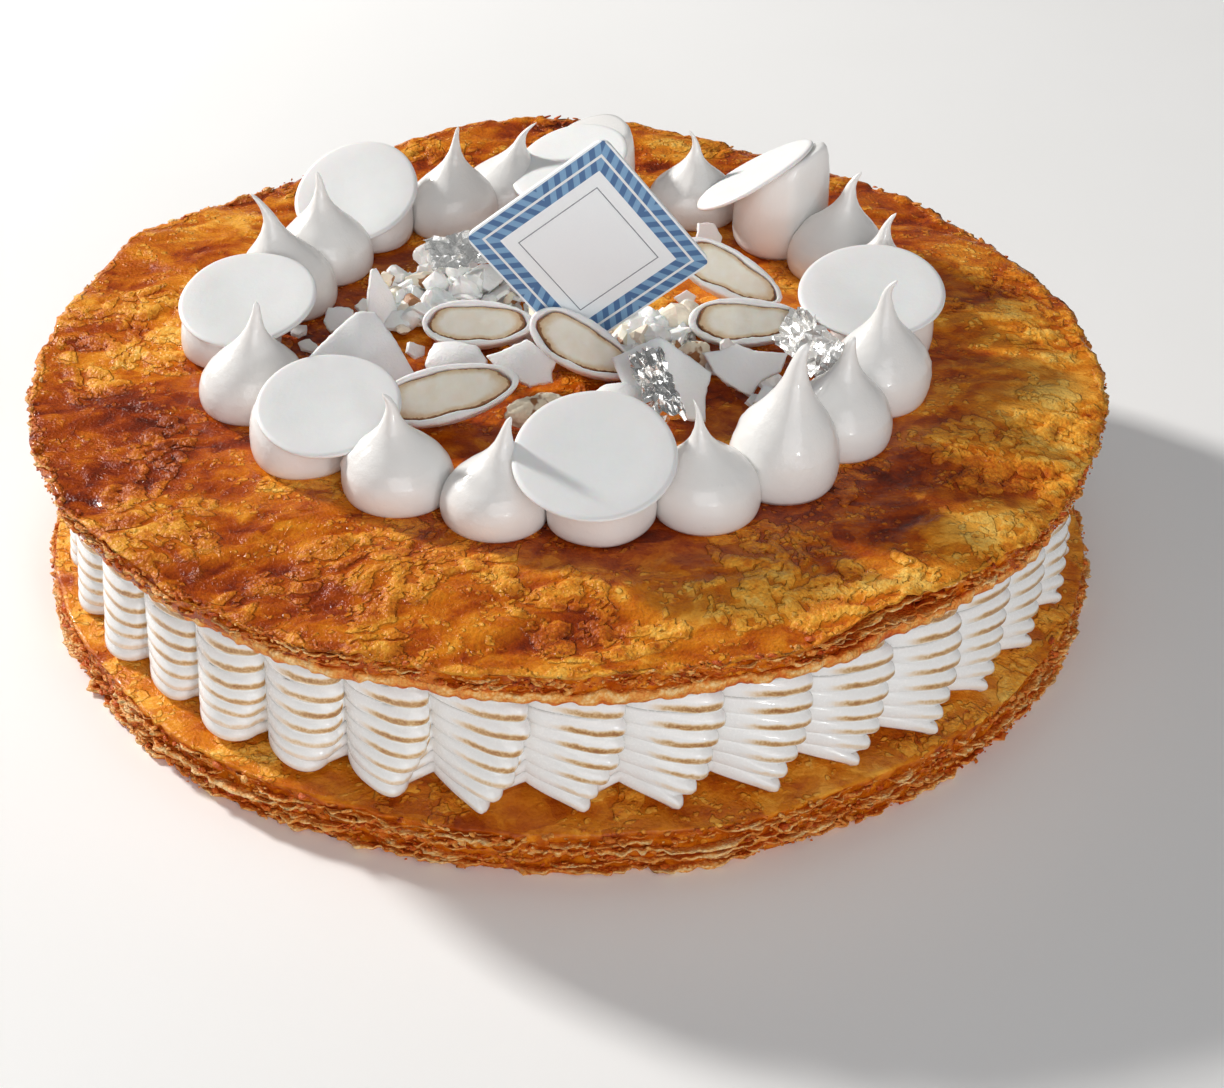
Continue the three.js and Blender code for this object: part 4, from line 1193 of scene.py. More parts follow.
# %% Planes of the packed pieces
def plane_of(node):
    """A flat piece's middle, its two long axes and its upward normal."""
    points = node_points(node)
    low, high = points.min(axis=0), points.max(axis=0)
    axes = np.linalg.svd(points - points.mean(axis=0), full_matrices=False)[2]
    normal = axes[2] * (1 if axes[2][2] > 0 else -1)
    return (low + high) / 2, axes[0], np.cross(normal, axes[0]), normal


print("the first disc looks along", plane_of("disc_1")[3].round(2))


# %% Discs
DISC_COLUMNS = 96
DISC_HALF = 0.6  # half the thickness
# The profile from the middle of the lower face round the edge: share of the radius, and height.
DISC_PROFILE = [
    (0.35, -1), (0.7, -1), (0.93, -1), (0.985, -0.7), (1.0, -0.2), (1.0, 0.3), (0.985, 0.75),
    (0.93, 1), (0.7, 1), (0.35, 1),
]


def disc_build(tint):
    colour = tint.grain(5, 3).blend((234, 234, 233), (241, 241, 241))
    return {
        "Base Color": colour,
        "Roughness": 0.36 + 0.3 * tint.grain(0.7),
        "Normal": tint.bump(tint.grain(0.9, 4) + 0.8 * tint.grain(6, 2), 0.05),
    }


disc_finish = finish("dried_meringue_disc", disc_build, Subsurface_Weight=0.2, Subsurface_Scale=0.002)


def add_disc(number):
    node = f"disc_{number}"
    middle, across, along, normal = plane_of(node)
    size = np.abs((node_points(node) - middle) @ across).max()
    angle = around(DISC_COLUMNS)
    wobble = 1 + 0.006 * np.sin(3 * angle + number) + 0.004 * np.sin(5 * angle + 2 * number)
    rows = []
    for share, height in DISC_PROFILE:
        dish = 0.30 * (share**2 - 0.6) + 0.12 * share**2 * np.sin(2 * angle + number)
        flat = ring(size * share * wobble, angle, height * DISC_HALF + dish)
        rows.append(middle + flat @ np.array([across, along, normal]))
    low, high = (middle + (side * DISC_HALF - 0.18) * normal for side in (-1, 1))
    points, faces = lathe(rows, low, high)
    add_piece(node + "_dried", points, faces, disc_finish, "meringue_disc", [node])
    return middle, normal


# %% Pressed kisses
FLAT_KISS_COLUMNS = 64
# The side of a pressed kiss from its foot up: share of its height, and share of its radius.
FLAT_KISS_PROFILE = [
    (0, 0.84), (0.05, 0.93), (0.14, 0.99), (0.3, 1.02), (0.5, 1.02), (0.7, 1.0), (0.84, 0.965),
    (0.94, 0.91), (0.985, 0.85), (1.0, 0.76), (1.0, 0.4),
]


def add_flat_kiss(number, disc_middle, disc_normal):
    node = f"flat_kiss_{number}"
    middle = ring_places[node]
    angle = around(FLAT_KISS_COLUMNS)
    uneven = 1 + 0.02 * np.sin(2 * angle + number) + 0.012 * np.sin(5 * angle + 3 * number)
    rows = []
    for up, half in FLAT_KISS_PROFILE:
        side = ring(FLAT_KISS_RADIUS * half * uneven, angle, 0)
        side[:, :2] += middle[:2]
        side = press_flat(side, node)
        away = side[:, :2] - disc_middle[:2]
        under = disc_middle[2] - away @ disc_normal[:2] / disc_normal[2] - 0.65 / disc_normal[2]
        tall = np.maximum(under - middle[2], 2.0)
        side[:, 2] = middle[2] - FOOT_SINK + (tall + FOOT_SINK) * up
        rows.append(side)
    top = [*middle[:2], rows[-1][:, 2].mean()]
    points, faces = lathe(rows, [*middle[:2], middle[2] - FOOT_SINK], top)
    add_piece(node + "_pressed", points, faces, meringue, "meringue_kiss", [node])


for number in range(1, len(FLAT_NODES) + 1):
    add_flat_kiss(number, *add_disc(number))

# %% [markdown]
# ## Split sugared almonds
# Each is half an almond in its hard sugar shell, cut along its length. The rim of the shell is
# thick and white, a thin ragged line of brown skin follows inside it, and the kernel's face is
# cream and slightly glossy. A cut by a Boolean would leave a dead sharp rim, so shell and kernel
# are rings of points that roll over the rim and down inside.

# %% Almond halves
ALMOND_COLUMNS = 84
FACE_BACK = math.radians(40)  # the cut faces look to the front and up
SUGAR_SHELL = 1.45
# The rim from the outside in: share of the wall, and height over the cut.
SHELL_RIM = ((0.0, -0.45), (0.12, -0.1), (0.35, 0.08), (0.65, 0.10), (0.90, 0.02), (1.0, -0.35))
# The border of the kernel from its foot up: share of its width, and depth under the cut.
KERNEL_RIM = ((0.80, -4.5), (0.98, -2.4), (1.0, -0.6), (0.985, -0.34), (0.96, -0.24))
# The length, width and depth of each half, and the turn of its long axis in its cut face.
ALMONDS = {
    1: (29, 12, 9, 13), 2: (24, 10.5, 9, 0), 3: (24.5, 11.5, 8.5, -31), 4: (25.5, 10.5, 9, 0),
    5: (26.5, 11, 9, -30),
}


def half_ring(length, width, depth, row, angle):
    """A ring of a half almond: row 0 at the cut face, 1 at its back."""
    round_off = math.cos(row * math.pi / 2)
    along = np.cos(angle) * round_off
    blunt = 1 - 0.16 * along
    return np.stack([
        length / 2 * along,
        width / 2 * np.sin(angle) * round_off * blunt,
        np.full_like(angle, -depth * math.sin(row * math.pi / 2)),
    ], axis=-1)


print("almonds", len(ALMONDS), "lengths", [almond[0] for almond in ALMONDS.values()])


# %% Rings of shell and kernel
def almond_half(number):
    """Rings of the shell from its back over the rim and down inside, and the inner rim."""
    length, width, depth = ALMONDS[number][:3]
    angle = around(ALMOND_COLUMNS)
    wall = SUGAR_SHELL * (1 + 0.22 * np.sin(3 * angle + number) + 0.12 * np.sin(7 * angle))
    rows = [half_ring(length, width, depth, row, angle) for row in np.linspace(0.94, 0.06, 14)]
    cut = half_ring(length, width, depth, 0, angle)
    outward = unit_rows(cut * [1, 1, 0])
    for share, rise in SHELL_RIM:
        rows.append(cut - outward * (wall * share)[:, None] + [0, 0, rise])
    inner = rows[-1]
    for row in np.linspace(0.08, 0.8, 8):
        lower = inner * [1, 1, 0] * math.cos(row * math.pi / 2)
        rows.append(lower + [0, 0, -0.5 - (depth - 2) * math.sin(row * math.pi / 2)])
    return [row + 0.08 * noise(row, 0.8, 90 + number)[:, None] for row in rows], inner


def kernel_half(number, inner):
    """Rings of the kernel inside the rim, and how near each point is to its skin."""
    angle = around(ALMOND_COLUMNS)
    ragged = 1 - 0.035 * np.abs(noise(inner, 1.3, 95)) - 0.03 * np.abs(np.sin(2 * angle + number))
    rows, edge = [], []
    for share, drop in KERNEL_RIM:
        rows.append(inner * [1, 1, 0] * (share * ragged)[:, None] + [0, 0, drop])
        edge.append(np.full(ALMOND_COLUMNS, 1 - share if share > 0.97 else 0.04 * (share > 0.9)))
    for share in np.linspace(0.91, 0.08, 15):
        face = inner * [1, 1, 0] * (share * ragged)[:, None]
        face[:, 2] = -0.22 + 0.22 * (1 - share**2) + 0.16 * noise(face + number * 30, 3.0, 96)
        rows.append(face)
        edge.append(np.full(ALMOND_COLUMNS, 1 - share))
    return rows, np.concatenate([*edge, [0, 1]])


print("rings of a shell", len(almond_half(1)[0]))


# %% Placing an almond
def box_middle(points):
    return (points.min(axis=0) + points.max(axis=0)) / 2


def add_almond(number):
    depth, turn = ALMONDS[number][2:]
    axes = turn_about(2, math.radians(turn)) @ turn_about(0, FACE_BACK)
    rows, inner = almond_half(number)
    points, faces = lathe(rows, [0, 0, -depth], [0, 0, 1 - depth])
    node = f"almond_sugar_{number}"
    shift = box_middle(node_points(node)) - box_middle(points @ axes)
    add_piece(node + "_shell", points @ axes + shift, faces, sugar_finish, "sugar_shell", [node])
    rows, edge = kernel_half(number, inner)
    points, faces = lathe(rows, [0, 0, -5], [0, 0, -0.15])
    node = f"almond_kernel_{number}"
    add_piece(node + "_cut", points @ axes + shift, faces, kernel_finish, "almond", [node], edge=edge)


# %% [markdown]
# Hard sugar is white, a little chalky and lets some light in. The cut kernel has a bright middle,
# a warmer border and a line of skin. Its parts could be separate pieces with plain colours, but
# the skin is thinner than paper, so the mesh stores how near the edge each point is and the finish
# draws the skin from that.

# %% Finishes of sugar and almond
def sugar_build(tint):
    colour = tint.grain(4, 3).blend((244, 243, 241), (250, 250, 250))
    chalk = tint.grain(0.5, 3)
    return {
        "Base Color": colour,
        "Roughness": 0.32 + 0.25 * chalk,
        "Normal": tint.bump(chalk + 0.6 * tint.grain(1.5, 2), 0.12),
    }


def kernel_build(tint):
    edge = tint.own("edge") + 0.12 * (tint.grain(0.9, 3) - 0.5) - 0.16 * (tint.grain(5, 2) - 0.45)
    flesh = tint.grain(2.6, 5, tint.place((1, 1, 0.5))).blend((242, 229, 206), (254, 251, 242))
    flesh = edge.step(0.30, 0.05).blend(flesh, (224, 196, 156))
    skin = tint.grain(0.8, 3).blend((116, 66, 34), (178, 126, 80))
    return {
        "Base Color": edge.step(0.058, 0.022).blend(flesh, skin),
        "Roughness": 0.42 + 0.2 * tint.grain(1.0),
        "Normal": tint.bump(tint.grain(0.9, 3), 0.12),
    }


sugar_finish = finish("hard_sugar_shell", sugar_build, Subsurface_Weight=0.2, Subsurface_Scale=0.002)
kernel_finish = finish("cut_almond", kernel_build, Subsurface_Weight=0.2, Subsurface_Scale=0.002)
for number in ALMONDS:
    add_almond(number)

# %% [markdown]
# ## Broken shell
# The shards are bits of the same sugar shell: hard, a little over a millimetre thick, curved, and
# broken off with sharp corners. Cell fracture would break a real shell, but not into these shapes,
# so each has its own outline. A grid of spokes runs from its middle to that outline over the top,
# round the broken edge and back below.


# %% A broken plate
def outline_reach(spokes, directions):
    """How far it is from the middle to an outline, along each direction."""
    reach = np.full(len(directions), np.inf)
    for corner, after in zip(spokes, np.roll(spokes, -1, axis=0)):
        side = after - corner
        across = directions[:, 0] * side[1] - directions[:, 1] * side[0]
        away = (corner[0] * side[1] - corner[1] * side[0]) / across
        share = (corner[0] * directions[:, 1] - corner[1] * directions[:, 0]) / across
        hit = (away > 0) & (share > -1e-6) & (share < 1 + 1e-6)
        reach = np.where(hit, np.minimum(reach, away), reach)
    return reach


square = np.array([[-1, -1], [1, -1], [1, 1], [-1, 1]])
print("from the middle of a square to its edge", outline_reach(square, np.array([[0.8, 0.6]])))

# %% Rings of a plate
# A plate in section, from the middle below round the edge: share of its reach, and which side.
PLATE_SECTION = [
    (0.12, -1), (0.4, -1), (0.7, -1), (0.9, -1), (0.975, -0.9), (1.0, -0.5), (1.0, 0.1), (0.99, 0.6),
    (0.965, 0.92), (0.88, 1), (0.7, 1), (0.5, 1), (0.3, 1), (0.12, 1),
]


def plate(outline, thick, curve, seed, columns=72):
    """A curved plate with a broken edge. curve holds the bend along X, the twist, the bend along Y,
    and how steeply the plate falls to both sides of a fold along Y."""
    corners = np.array(outline, float)
    middle = corners.mean(axis=0)
    spokes = corners - middle
    angle = np.linspace(-math.pi, math.pi, columns, endpoint=False)
    angle = np.unique(np.concatenate([angle, np.arctan2(spokes[:, 1], spokes[:, 0])]).round(3))
    directions = np.stack([np.cos(angle), np.sin(angle)], axis=-1)
    reach = outline_reach(spokes, directions)
    along_x, twist, along_y, fold = curve

    def level(flat):
        u, v = flat[:, 0], flat[:, 1]
        return along_x * u**2 + twist * u * v + along_y * v**2 - fold * np.sqrt(u**2 + 0.3)

    rows = []
    for share, side in PLATE_SECTION:
        flat = np.zeros((len(angle), 3))
        flat[:, :2] = directions * (reach * share)[:, None] + middle
        break_depth = 0.22 * noise(flat + [seed * 9, 0, 2 * side], 0.9, seed) * (share > 0.95)
        flat[:, :2] += directions * break_depth[:, None]
        flat[:, 2] = level(flat) + side * thick / 2 + 0.05 * noise(flat + [seed * 9, 0, 0], 1.4, seed)
        rows.append(flat)
    centre = level(np.array([[*middle, 0]]))[0]
    return lathe(rows, [*middle, centre - thick / 2], [*middle, centre + thick / 2])


print("rings of a plate", len(PLATE_SECTION))


# %% Turning a piece
def turned_by(turn, pitch, bank):
    """Rows of a turn, in degrees: to one side, then forward or back, then about the upright."""
    turn, pitch, bank = (math.radians(value) for value in (turn, pitch, bank))
    return turn_about(1, bank) @ turn_about(0, pitch) @ turn_about(2, turn)


print("tipped forward by 40 degrees", turned_by(0, 40, 0).round(2).tolist())


# %% Shards of sugar shell
# Each shard: where its middle is, its turn, pitch and bank, its curve and its outline.
SHARDS = {
    1: ((-44, -15), (6, 42, 4), (-0.008, 0, -0.012, 0.14),
        [(-11.3, -1.3), (-9, -3.4), (-3, -8.5), (8, -8), (11.3, -5.8), (7.5, 1.5), (3.4, 8.3),
         (-0.6, 8.1), (-5, 4.4)]),
    2: ((-24.5, -12.5), (-8, 34, 0), (-0.035, 0, -0.075, 0),
        [(-6.6, -1.5), (-5.6, 3.9), (-1, 4.3), (3.8, 3.7), (6.4, 0.5), (6.6, -1.9), (1, -3.2),
         (-0.6, -4.3), (-5.1, -3.9)]),
    3: ((-10.8, -14.5), (-10, 40, 5), (-0.012, 0, -0.02, 0.05),
        [(-7.4, 0.4), (-4.4, 1.6), (0.6, 4.9), (7.4, 1.0), (6.6, -1.5), (7.2, -3.6), (2.6, -5.4),
         (-4.7, -2.4)]),
    4: ((-42, 9), (24, 60, 10), (-0.03, 0, -0.01, 0.1),
        [(-4, -5), (-1.5, -7), (4.3, -4.6), (3.6, 0.5), (0.9, 6.9), (-0.4, 6.6), (-2.4, 1.5)]),
    5: ((18.2, -27.0), (-6, 38, 6), (-0.004, 0, -0.008, 0.24),
        [(-10.4, 3.4), (-1.2, 8.4), (10.4, 2.2), (9.4, -3), (9.8, -8.4), (1.0, -9.2), (-6.4, -5.6)]),
    6: ((8.5, -32.5), (4, 34, -10), (-0.045, 0, -0.05, 0),
        [(-6.6, -1.4), (-5.6, 2.6), (-1.6, 5), (3.4, 4.8), (6.8, 1.4), (5, -4.2), (-2.4, -5.2)]),
    7: ((36, -18.5), (-4, 42, 6), (-0.01, 0.01, -0.015, 0),
        [(-9, 3.6), (-5.4, 4.2), (-2, 5.8), (1.6, 4.4), (8.8, 4.6), (7.5, 0.4), (3.4, -2),
         (1.4, -5.6), (-3.2, -3.6), (-6.6, -0.8)]),
    8: ((43, -29.5), (14, 34, 4), (-0.02, 0, -0.02, 0),
        [(-6, 1), (-3, 4.5), (0.4, 3.0), (2, 4.4), (6, 3.6), (5, -1), (1, -4.6), (-3, -3.5)]),
    9: ((31.5, 45.5), (20, 55, 0), (-0.03, 0, -0.03, 0),
        [(-3.4, -1), (-1.5, 3.8), (2.2, 3.2), (3.5, -0.5), (1.5, -3.8), (-2, -3.4)]),
    10: ((-50.5, 7), (-20, 34, 0), (-0.02, 0, -0.02, 0),
         [(-3.8, 2.3), (0.2, 3.2), (1.8, 2.8), (3.9, -0.4), (1.0, -2.6), (-1.5, -3.4), (-3.8, -1.3)]),
}
SHARD_THICKNESS = 1.15

for number, ((at_x, at_y), turns, curve, outline) in SHARDS.items():
    points, faces = plate(outline, SHARD_THICKNESS, curve, number)
    points = points @ turned_by(*turns)
    points += [at_x, at_y, STAND - 0.1 - points[:, 2].min()]
    node = f"sugar_shard_{number}"
    add_piece(node + "_broken", points, faces, sugar_finish, "sugar_shell", [node])

# %% [markdown]
# ## Lumps of almond
# The two lumps of broken almond keep their packed form but have few faces. They could be sculpted
# anew, but it is less work to subdivide a copy, remesh it fine and roughen it a little, which
# rounds its faces and breaks up its edges. Noise gives the pale flesh and its few brown scraps.


# %% Finish of broken almond
def nut_build(tint):
    patch = tint.grain(5, 3)
    flesh = tint.grain(1.2, 3).blend((226, 206, 172), (243, 234, 216))
    return {
        "Base Color": patch.step(0.58, 0.64).blend(flesh, (150, 98, 54)),
        "Roughness": 0.5 + 0.2 * tint.grain(0.8),
        "Normal": tint.bump(tint.grain(0.8, 4), 0.25),
    }


nut_finish = finish("broken_almond", nut_build)

# %% Refining a packed lump
REMESH_VOXEL = 0.30
LUMP_ROUGHNESS, LUMP_GRAIN = 0.35, 1.6


def refined(node):
    """A node's shape with soft edges and fine faces."""
    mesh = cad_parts[node].data.copy()
    mesh.materials.clear()
    piece = bpy.data.objects.new(node + "_copy", mesh)
    bpy.context.scene.collection.objects.link(piece)
    weld = piece.modifiers.new("weld", "WELD")
    weld.merge_threshold = 1e-6
    bevel = piece.modifiers.new("bevel", "BEVEL")
    bevel.width, bevel.segments, bevel.angle_limit = 0.15 * MM, 1, math.radians(40)
    piece.modifiers.new("soft", "SUBSURF").levels = 2
    remesh = piece.modifiers.new("remesh", "REMESH")
    remesh.mode, remesh.voxel_size = "VOXEL", REMESH_VOXEL * MM
    bpy.context.view_layer.update()
    evaluated = piece.evaluated_get(bpy.context.evaluated_depsgraph_get())
    fine = bpy.data.meshes.new_from_object(evaluated)
    bpy.data.objects.remove(piece)
    return fine


def add_lump(number):
    node = f"almond_fragment_{number}"
    fine = refined(node)
    points = mesh_points(fine)
    normals = np.empty(len(fine.vertices) * 3)
    fine.vertices.foreach_get("normal", normals)
    relief = LUMP_ROUGHNESS * rough(points, LUMP_GRAIN, 20 + number)
    points += normals.reshape(-1, 3) * relief[:, None]
    faces = [list(face.vertices) for face in fine.polygons]
    add_piece(node + "_broken", points, faces, nut_finish, "almond", [node])


for number in (1, 2):
    add_lump(number)

# %% [markdown]
# ## Crumb heaps
# The heaps are crumbs, bits of shell and broken almond. A particle system would scatter them, but
# the pieces here are real meshes with a place of their own. Each packed heap becomes a low core of
# fine crumbs with three things laid over it: small chips, bits of curved shell, and a few larger
# lumps put where they lie on the cake. Almond bits keep some brown skin on one side.

# %% Chips
CHIP_ROWS, CHIP_COLUMNS = 8, 12
CHIP_CUTS = 10


def chip(random, radii, power):
    """A crumb: a ball cut by random planes. A larger power keeps its edges sharper. Also tells how
    far each point lies to one side, from -1 to 1, where almond has its skin."""
    polar = np.linspace(0.12, math.pi - 0.12, CHIP_ROWS)
    angle = around(CHIP_COLUMNS)
    directions = np.stack([
        np.sin(polar)[:, None] * np.cos(angle),
        np.sin(polar)[:, None] * np.sin(angle),
        -np.cos(polar)[:, None] * np.ones_like(angle),
    ], axis=-1).reshape(-1, 3)
    directions = np.concatenate([directions, [[0, 0, -1], [0, 0, 1]]])
    planes = unit_rows(random.normal(size=(CHIP_CUTS, 3)))
    reach = 0.55 + 0.45 * random.random(CHIP_CUTS)
    facing = np.maximum(directions @ planes.T, 1e-3) / reach
    distance = (facing**power).sum(axis=1) ** (-1 / power)
    points = directions * np.minimum(distance, 1.2)[:, None] * radii
    side = directions @ planes[0]
    turn = np.linalg.qr(random.normal(size=(3, 3)))[0]
    if np.linalg.det(turn) < 0:
        turn[:, 0] *= -1
    return points @ turn, closed_faces(CHIP_ROWS, CHIP_COLUMNS), side


print("points of a chip", CHIP_ROWS * CHIP_COLUMNS + 2)


# %% Small bits of shell
def shell_bit(random, size):
    """A small bit of sugar shell with a random outline."""
    corners = random.integers(5, 8)
    angle = np.sort(random.random(corners) * 0.7 + np.arange(corners)) / corners * 2 * math.pi
    reach = size * (0.65 + 0.35 * random.random(corners))
    outline = np.stack([reach * np.cos(angle), 0.72 * reach * np.sin(angle)], axis=-1)
    curve = (-0.04 * random.random(), 0.02 * (random.random() - 0.5), -0.05 * random.random(), 0)
    return plate(outline, 0.9 + 0.3 * random.random(), curve, int(random.integers(1, 99)), columns=16)


print("points of a shell bit", len(shell_bit(np.random.default_rng(1), 3)[0]))


# %% Finish of the crumbs
def heap_build(tint):
    """Each point's kind tells what it is made of: 0 sugar, 1 almond and 2 its brown skin."""
    white = tint.grain(1.5, 3).blend((236, 234, 231), (249, 249, 248))
    nut = tint.grain(1.2, 3).blend((234, 219, 194), (246, 238, 224))
    skin = tint.grain(1.0, 3).blend((132, 82, 46), (184, 134, 88))
    kind = tint.own("kind")
    colour = kind.step(0.45, 0.55).blend(white, nut)
    colour = (kind + 0.5 * (tint.grain(1.2, 2) - 0.5)).step(1.45, 1.60).blend(colour, skin)
    chalk = tint.grain(0.6, 3)
    return {
        "Base Color": colour,
        "Roughness": 0.38 + 0.3 * chalk,
        "Normal": tint.bump(chalk + tint.grain(1.4, 2), 0.14),
    }


heap_finish = finish("crumbs", heap_build, Subsurface_Weight=0.15, Subsurface_Scale=0.002)

# %% Where the crumbs lie
# Each heap: its middle, its reach in X and Y, its height and its seed.
HEAPS = {
    "crumb_heap_left": ((-25, 18), (17, 14), 12, 3),
    "crumb_heap_middle": ((-1, 5.5), (12, 9), 8, 7),
    "crumb_heap_right": ((18, 0.5), (10, 10), 6.5, 13),
}
# Larger bits by heap: X, Y, height over the crust, the three radii, and 0 for sugar or 1 for almond.
LUMPS = {
    "crumb_heap_left": [
        (-22.8, 17.5, 6.0, (6.2, 3.6, 3.2), 0), (-32.6, 19.4, 5.5, (3.8, 2.4, 2.2), 1),
        (-38.2, 22.5, 4.2, (2.8, 2.4, 3.6), 0), (-33.7, 30, 6.5, (2.6, 2.4, 2.6), 0),
        (-40.6, 16.6, 7.5, (1.6, 1.4, 2.0), 1), (-31.8, 8.5, 2.6, (5.0, 2.0, 1.8), 1),
        (-36.7, 4.5, 1.2, (1.8, 1.4, 1.1), 1), (-29.5, 26, 8.6, (3.2, 2.6, 2.2), 0),
        (-17, 23, 5.4, (3.2, 2.2, 2.0), 0), (-26, 11.5, 4.0, (2.6, 2.0, 1.6), 0),
    ],
    "crumb_heap_middle": [
        (-9.5, 6.5, 2.4, (2.8, 2.0, 1.8), 1), (-7, 11, 4.2, (3.0, 2.2, 1.8), 0),
        (-12, 3.5, 1.6, (2.2, 1.4, 1.3), 0),
    ],
    "crumb_heap_right": [
        (17.2, -2.5, 3.8, (2.6, 2.2, 3.4), 0), (21.0, 2.5, 4.8, (4.2, 2.8, 3.8), 1),
        (24.6, 7.5, 4.6, (3.0, 2.4, 2.6), 1), (33.2, -7.4, 3.2, (2.1, 1.6, 3.0), 0),
        (28.5, -10.5, 1.8, (2.6, 1.8, 1.4), 0), (26.0, 12.0, 3.2, (2.0, 1.8, 1.6), 0),
    ],
}
# Shell bits by heap: X, Y, height over the crust, size, then turn, pitch and bank.
BITS = {
    "crumb_heap_left": [
        (-38.1, 6.6, 2.2, 4.2, 10, 30, -10), (-33.7, -6.0, 2.4, 3.4, 30, 50, 20),
        (-56.7, -2.5, 1.3, 2.8, 0, 20, 8),
        (-59.4, 4.3, 1.0, 2.4, 50, 16, -8), (-19, 15.6, 8.4, 5.2, -10, 34, 8),
        (-48.4, -9, 1.4, 2.6, 70, 20, 0),
        (-34, 14.0, 4.4, 3.6, 60, 48, 10), (-45, 14, 1.6, 3.2, -30, 24, 12),
    ],
    "crumb_heap_middle": [
        (10.6, -4.2, 3.4, 4.4, 20, 44, 8), (14.6, -1.5, 5.2, 4.6, 34, 40, -12),
        (-4, 13.4, 5.4, 3.6, -20, 40, 0),
    ],
    "crumb_heap_right": [
        (25.2, 18.7, 1.6, 3.0, 14, 40, 0), (36.3, 41.2, 1.5, 2.6, 40, 34, 0),
        (30.4, -12.8, 1.6, 3.4, -14, 30, 12),
        (38.4, -26, 1.4, 3.0, 30, 24, 0), (22.5, -3.6, 3.4, 3.4, 80, 46, 0),
        (33.5, -1.5, 5.4, 3.4, 86, 64, 0), (31.9, -12.5, 3.4, 4.4, 20, 34, 8),
        (39, -10.6, 2.4, 4.6, -14, 24, 6),
        (41.5, -17.8, 1.6, 4.0, 60, 22, 0), (35.0, -18.6, 2.0, 3.4, 0, 30, -10),
    ],
}

print("lumps and bits", [sum(len(rows) for rows in table.values()) for table in (LUMPS, BITS)])

# %% Core of a heap
CORE_COLUMNS = 64
CORE_WIDTH, CORE_HEIGHT = 0.84, 0.48  # the core's share of its heap


def mound(share, height):
    return height * (1 - share**2)


def heap_core(middle, reach, height, seed):
    """The low core of fine crumbs, as rings from its border up."""
    angle = around(CORE_COLUMNS)
    rows = []
    for share in np.linspace(1, 0.06, 16):
        core = ring(share, angle, 0) * [CORE_WIDTH * reach[0], CORE_WIDTH * reach[1], 0] + [*middle, 0]
        bumps = 0.7 * rough(core, 4, seed) * (share < 0.99)
        core[:, 2] = STAND - 0.2 + mound(share, CORE_HEIGHT * height) + bumps
        rows.append(core)
    return lathe(rows, [*middle, STAND - 0.2], [*middle, STAND + CORE_HEIGHT * height])


print("height of a mound half way out", mound(0.5, 1))

# %% Laying the crumbs
SMALL_CHIPS, LARGE_CHIPS, LOOSE_BITS = 50, 34, 34
ALMOND_SHARE = 0.22
SHARP_EDGE = math.radians(32)


def add_heap(node, middle, reach, height, seed):
    random = np.random.default_rng(seed)
    batch = Batch()
    points, faces = heap_core(middle, reach, height, seed)
    batch.add(points, faces, kind=0.3 + 0.5 * noise(points, 5, seed))

    def lay(count, least, spread, rise):
        for _ in range(count):
            away = math.sqrt(random.random())
            turn = random.random() * 2 * math.pi
            size = least + spread * random.random() ** 2
            off = [reach[0] * away * math.cos(turn), reach[1] * away * math.sin(turn), 0]
            place = np.array([*middle, 0]) + off
            place[2] = STAND + mound(away, 0.5 * height) + rise * size
            yield place, size

    for place, size in [*lay(SMALL_CHIPS, 0.5, 1.0, 0.5), *lay(LARGE_CHIPS, 2.0, 2.4, 0.5)]:
        radii = size * np.array([1, 0.8, 0.45 + 0.45 * random.random()])
        points, faces, side = chip(random, radii, 60)
        almond = random.random() < ALMOND_SHARE
        batch.add(points + place, faces, kind=1 + 0.8 * smooth_step(0.3, 0.6, side) if almond else 0)
    for place, size in lay(LOOSE_BITS, 2.2, 3.0, 0.45):
        points, faces = shell_bit(random, size)
        points = points @ turned_by(360 * random.random(), 50 * random.random(), 30 * random.random())
        batch.add(points + place, faces, kind=0)
    for x, y, z, radii, almond in LUMPS[node]:
        points, faces, side = chip(random, np.array(radii), 12)
        spread = (points.max(axis=0) - points.min(axis=0)) / 2
        points = points / spread * radii
        kind = almond * (1 + 0.8 * smooth_step(0.35, 0.6, side))
        batch.add(points + [x, y, STAND + z], faces, kind=kind)
    for x, y, z, size, *turns in BITS[node]:
        points, faces = shell_bit(random, size)
        batch.add(points @ turned_by(*turns) + [x, y, STAND + z], faces, kind=0)
    piece = batch.piece(node + "_crumbs", heap_finish, "crumbs", [node])
    piece.data.set_sharp_from_angle(angle=SHARP_EDGE)


for node, heap in HEAPS.items():
    add_heap(node, *heap)

# %% [markdown]
# ## Silver leaf
# Leaf silver is so thin that it crumples into hard facets. A cloth simulation would crumple a
# sheet too, but not to a set place. Each leaf is a fine sheet along its packed piece, folded by
# noise and flat shaded, with every corner moved a little at random.


# %% Finish of the silver
def silver_build(tint):
    colour = tint.grain(3, 2).blend((214, 214, 212), (240, 240, 238))
    return {
        "Base Color": colour,
        "Roughness": 0.14 + 0.22 * tint.grain(1.2, 2),
        "Normal": tint.bump(tint.grain(0.7, 2), 0.08),
    }


bright_silver = finish("bright_silver_leaf", silver_build, Metallic=1.0)
worn_silver = finish("worn_silver_leaf", silver_build, Metallic=0.5)

# %% A crumpled sheet
FOIL_COLUMNS, FOIL_ROWS = 17, 13
FOIL_THICKNESS = 0.08


